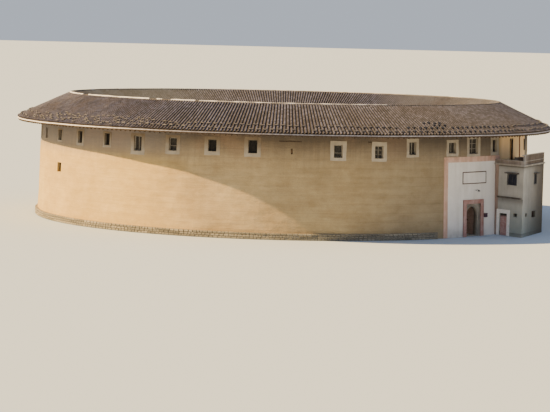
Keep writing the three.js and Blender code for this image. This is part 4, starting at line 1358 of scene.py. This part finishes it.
def build_annex_door():
    """A painted door of stiles and rails round four thin panels, with a ledge for its lock."""
    hinge = annex_side(0) @ Matrix.Translation((ANNEX_DOOR["from"] + DOOR_PIN, ANNEX_WALL / 2, 0))
    bm, metal = bmesh.new(), bmesh.new()
    left, right = -0.025, ANNEX_DOOR["width"] - DOOR_PIN - 0.012
    low, high = 0.012, ANNEX_DOOR["height"] - 0.012
    middle = (left + right) / 2
    for x in (left + STILE / 2, right - STILE / 2, middle):
        add_box(bm, (STILE, 0.05, high - low), (x, 0, (low + high) / 2), hinge)
    panel_width = (right - left - 3 * STILE) / 2
    columns = (left + STILE + panel_width / 2, right - STILE - panel_width / 2)
    for x in columns:
        for z, tall in ((low + 0.11, 0.22), (0.98, 0.16), (high - 0.06, 0.12)):
            add_box(bm, (panel_width, 0.05, tall), (x, 0, z), hinge)
        for bottom, top in ((low + 0.22, 0.9), (1.06, high - 0.12)):
            add_box(bm, (panel_width, 0.018, top - bottom), (x, 0, (bottom + top) / 2), hinge)
    soften(bm, 0.005)
    add_rod(bm, 0.02, (0, 0, low), (0, 0, ANNEX_DOOR["height"] - 0.001), 16, hinge)
    for out in (-1, 1):
        add_rod(metal, 0.01, (right - 0.06, 0, 1.0), (right - 0.06, out * 0.06, 1.0), 10, hinge)
        knob = hinge @ Matrix.Translation((right - 0.06, out * 0.065, 1.0))
        bmesh.ops.create_uvsphere(metal, u_segments=16, v_segments=10, radius=0.026, matrix=knob)
        add_box(metal, (0.045, 0.006, 0.16), (right - 0.06, out * 0.027, 0.98), hinge)
    door = settle(bm, "panelled_annex_door", DOOR_PAINT, body="annex_door")
    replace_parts(door, "annex_door_leaf")
    settle(metal, "annex_door_knobs", IRON, body="annex_door")


# The courtyard side

PLINTH = 0.36
BALUSTERS_IN_BAY = 11
JOISTS_IN_BAY = 4


def add_round_bay(bm, build):
    """Builds one bay's pieces at the first post and repeats them in all bays."""
    part = bmesh.new()
    build(part)
    bmesh.ops.rotate(part, cent=(0, 0, 0), matrix=turn(FIRST_POST), verts=part.verts)
    repeat_round(part, round(360 / BAY))
    join(bm, part)


def build_galleries():
    """Turned-down plinth stones under the posts, and in each bay of the two upper galleries a
    lower rail, flat balusters, and the ends of the joists that carry the planks."""
    stones, wood = bmesh.new(), bmesh.new()

    def plinth(part):
        add_box(part, (PLINTH, PLINTH, 0.16), (0, -POST_R, 0.08))
        soften(part, 0.03)

    add_round_bay(stones, plinth)
    settle(stones, "post_plinth_stones", GRANITE)
    chord = 2 * POST_R * math.sin(math.radians(BAY / 2))
    depth = POST_R * math.cos(math.radians(BAY / 2))

    def railing(part):
        for floor in (SECOND_FLOOR, THIRD_FLOOR):
            bay = turn(BAY / 2) @ Matrix.Translation((0, -depth, floor))
            add_box(part, (chord - 0.2, 0.06, 0.07), (0, 0, 0.12), bay)
            for i in range(1, BALUSTERS_IN_BAY):
                x = chord * (i / BALUSTERS_IN_BAY - 0.5)
                add_box(part, (0.06, 0.025, 0.78), (x, 0, 0.52), bay)

    def joists(part):
        for floor in (SECOND_FLOOR, THIRD_FLOOR):
            for i in range(JOISTS_IN_BAY):
                angle = BAY * (i + 0.5) / JOISTS_IN_BAY
                place = spot(17.23, angle, floor - FLOOR_DEPTH + 0.1)
                add_box(part, (0.12, 0.42, 0.18), (0, 0, 0), place)
        soften(part, 0.01)

    add_round_bay(wood, railing)
    add_round_bay(wood, joists)
    settle(wood, "gallery_balusters_and_joist_ends", TIMBER)


# Light and ground

SUN_FROM = -83.3
SUN_HEIGHT = 41.1


def build_studio():
    bpy.ops.mesh.primitive_plane_add(size=3000)
    floor = bpy.context.object
    floor.name = "studio_floor"
    floor.location.z = -0.002
    material = start_material("pale_studio_floor", 0.9)[0]
    material.node_tree.nodes["Principled BSDF"].inputs["Base Color"].default_value = linear("b2c0d4")
    floor.data.materials.append(material)
    light = bpy.data.lights.new("key", "SUN")
    light.energy = 15.5
    light.angle = math.radians(1)
    light.color = linear("ffd48c")[:3]
    key = bpy.data.objects.new("key", light)
    bpy.context.scene.collection.objects.link(key)
    aim = spot(math.cos(math.radians(SUN_HEIGHT)), SUN_FROM, math.sin(math.radians(SUN_HEIGHT)))
    key.rotation_euler = aim.translation.to_track_quat("Z", "Y").to_euler()
    world = bpy.data.worlds.new("studio")
    world.use_nodes = True
    world.node_tree.nodes["Background"].inputs[0].default_value = linear("dfe8f6")
    world.node_tree.nodes["Background"].inputs[1].default_value = 0.68
    bpy.context.scene.world = world


def dress_cad_nodes():
    finishes = {
        "tiled_roof": ROOF_BOARDS, "stone_footing": MORTAR, "second_floor": FLOOR,
        "third_floor": FLOOR, "gallery_frame": TIMBER, "gate_arch": GATE_CEMENT,
        "gate_threshold": GRANITE, "annex_wall": CEMENT, "annex_upper_floor": SLAB,
        "annex_roof_slab": SLAB, "annex_parapet": PARAPET, "annex_door_frame": WHITE_PAINT,
    }
    for name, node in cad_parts.items():
        for start, finish in finishes.items():
            if name.startswith(start):
                node.data.materials.clear()
                node.data.materials.append(finish)


build_camera()
build_studio()
dress_cad_nodes()
build_wall()
build_surrounds()
build_joinery()
build_wall_timbers()
build_footing_stones()
build_tiles(outer=True)
build_tiles(outer=False)
build_ridge()
build_eave_board()
build_roof_bricks()
build_rafters()
build_gate_front()
build_gate_stones()
build_gate_leaf("left", "gate_leaf_left", -1)
build_gate_leaf("right", "gate_leaf_right", 1)
build_gate_fittings()
build_annex_openings()
build_annex_trim()
build_annex_door()
build_galleries()
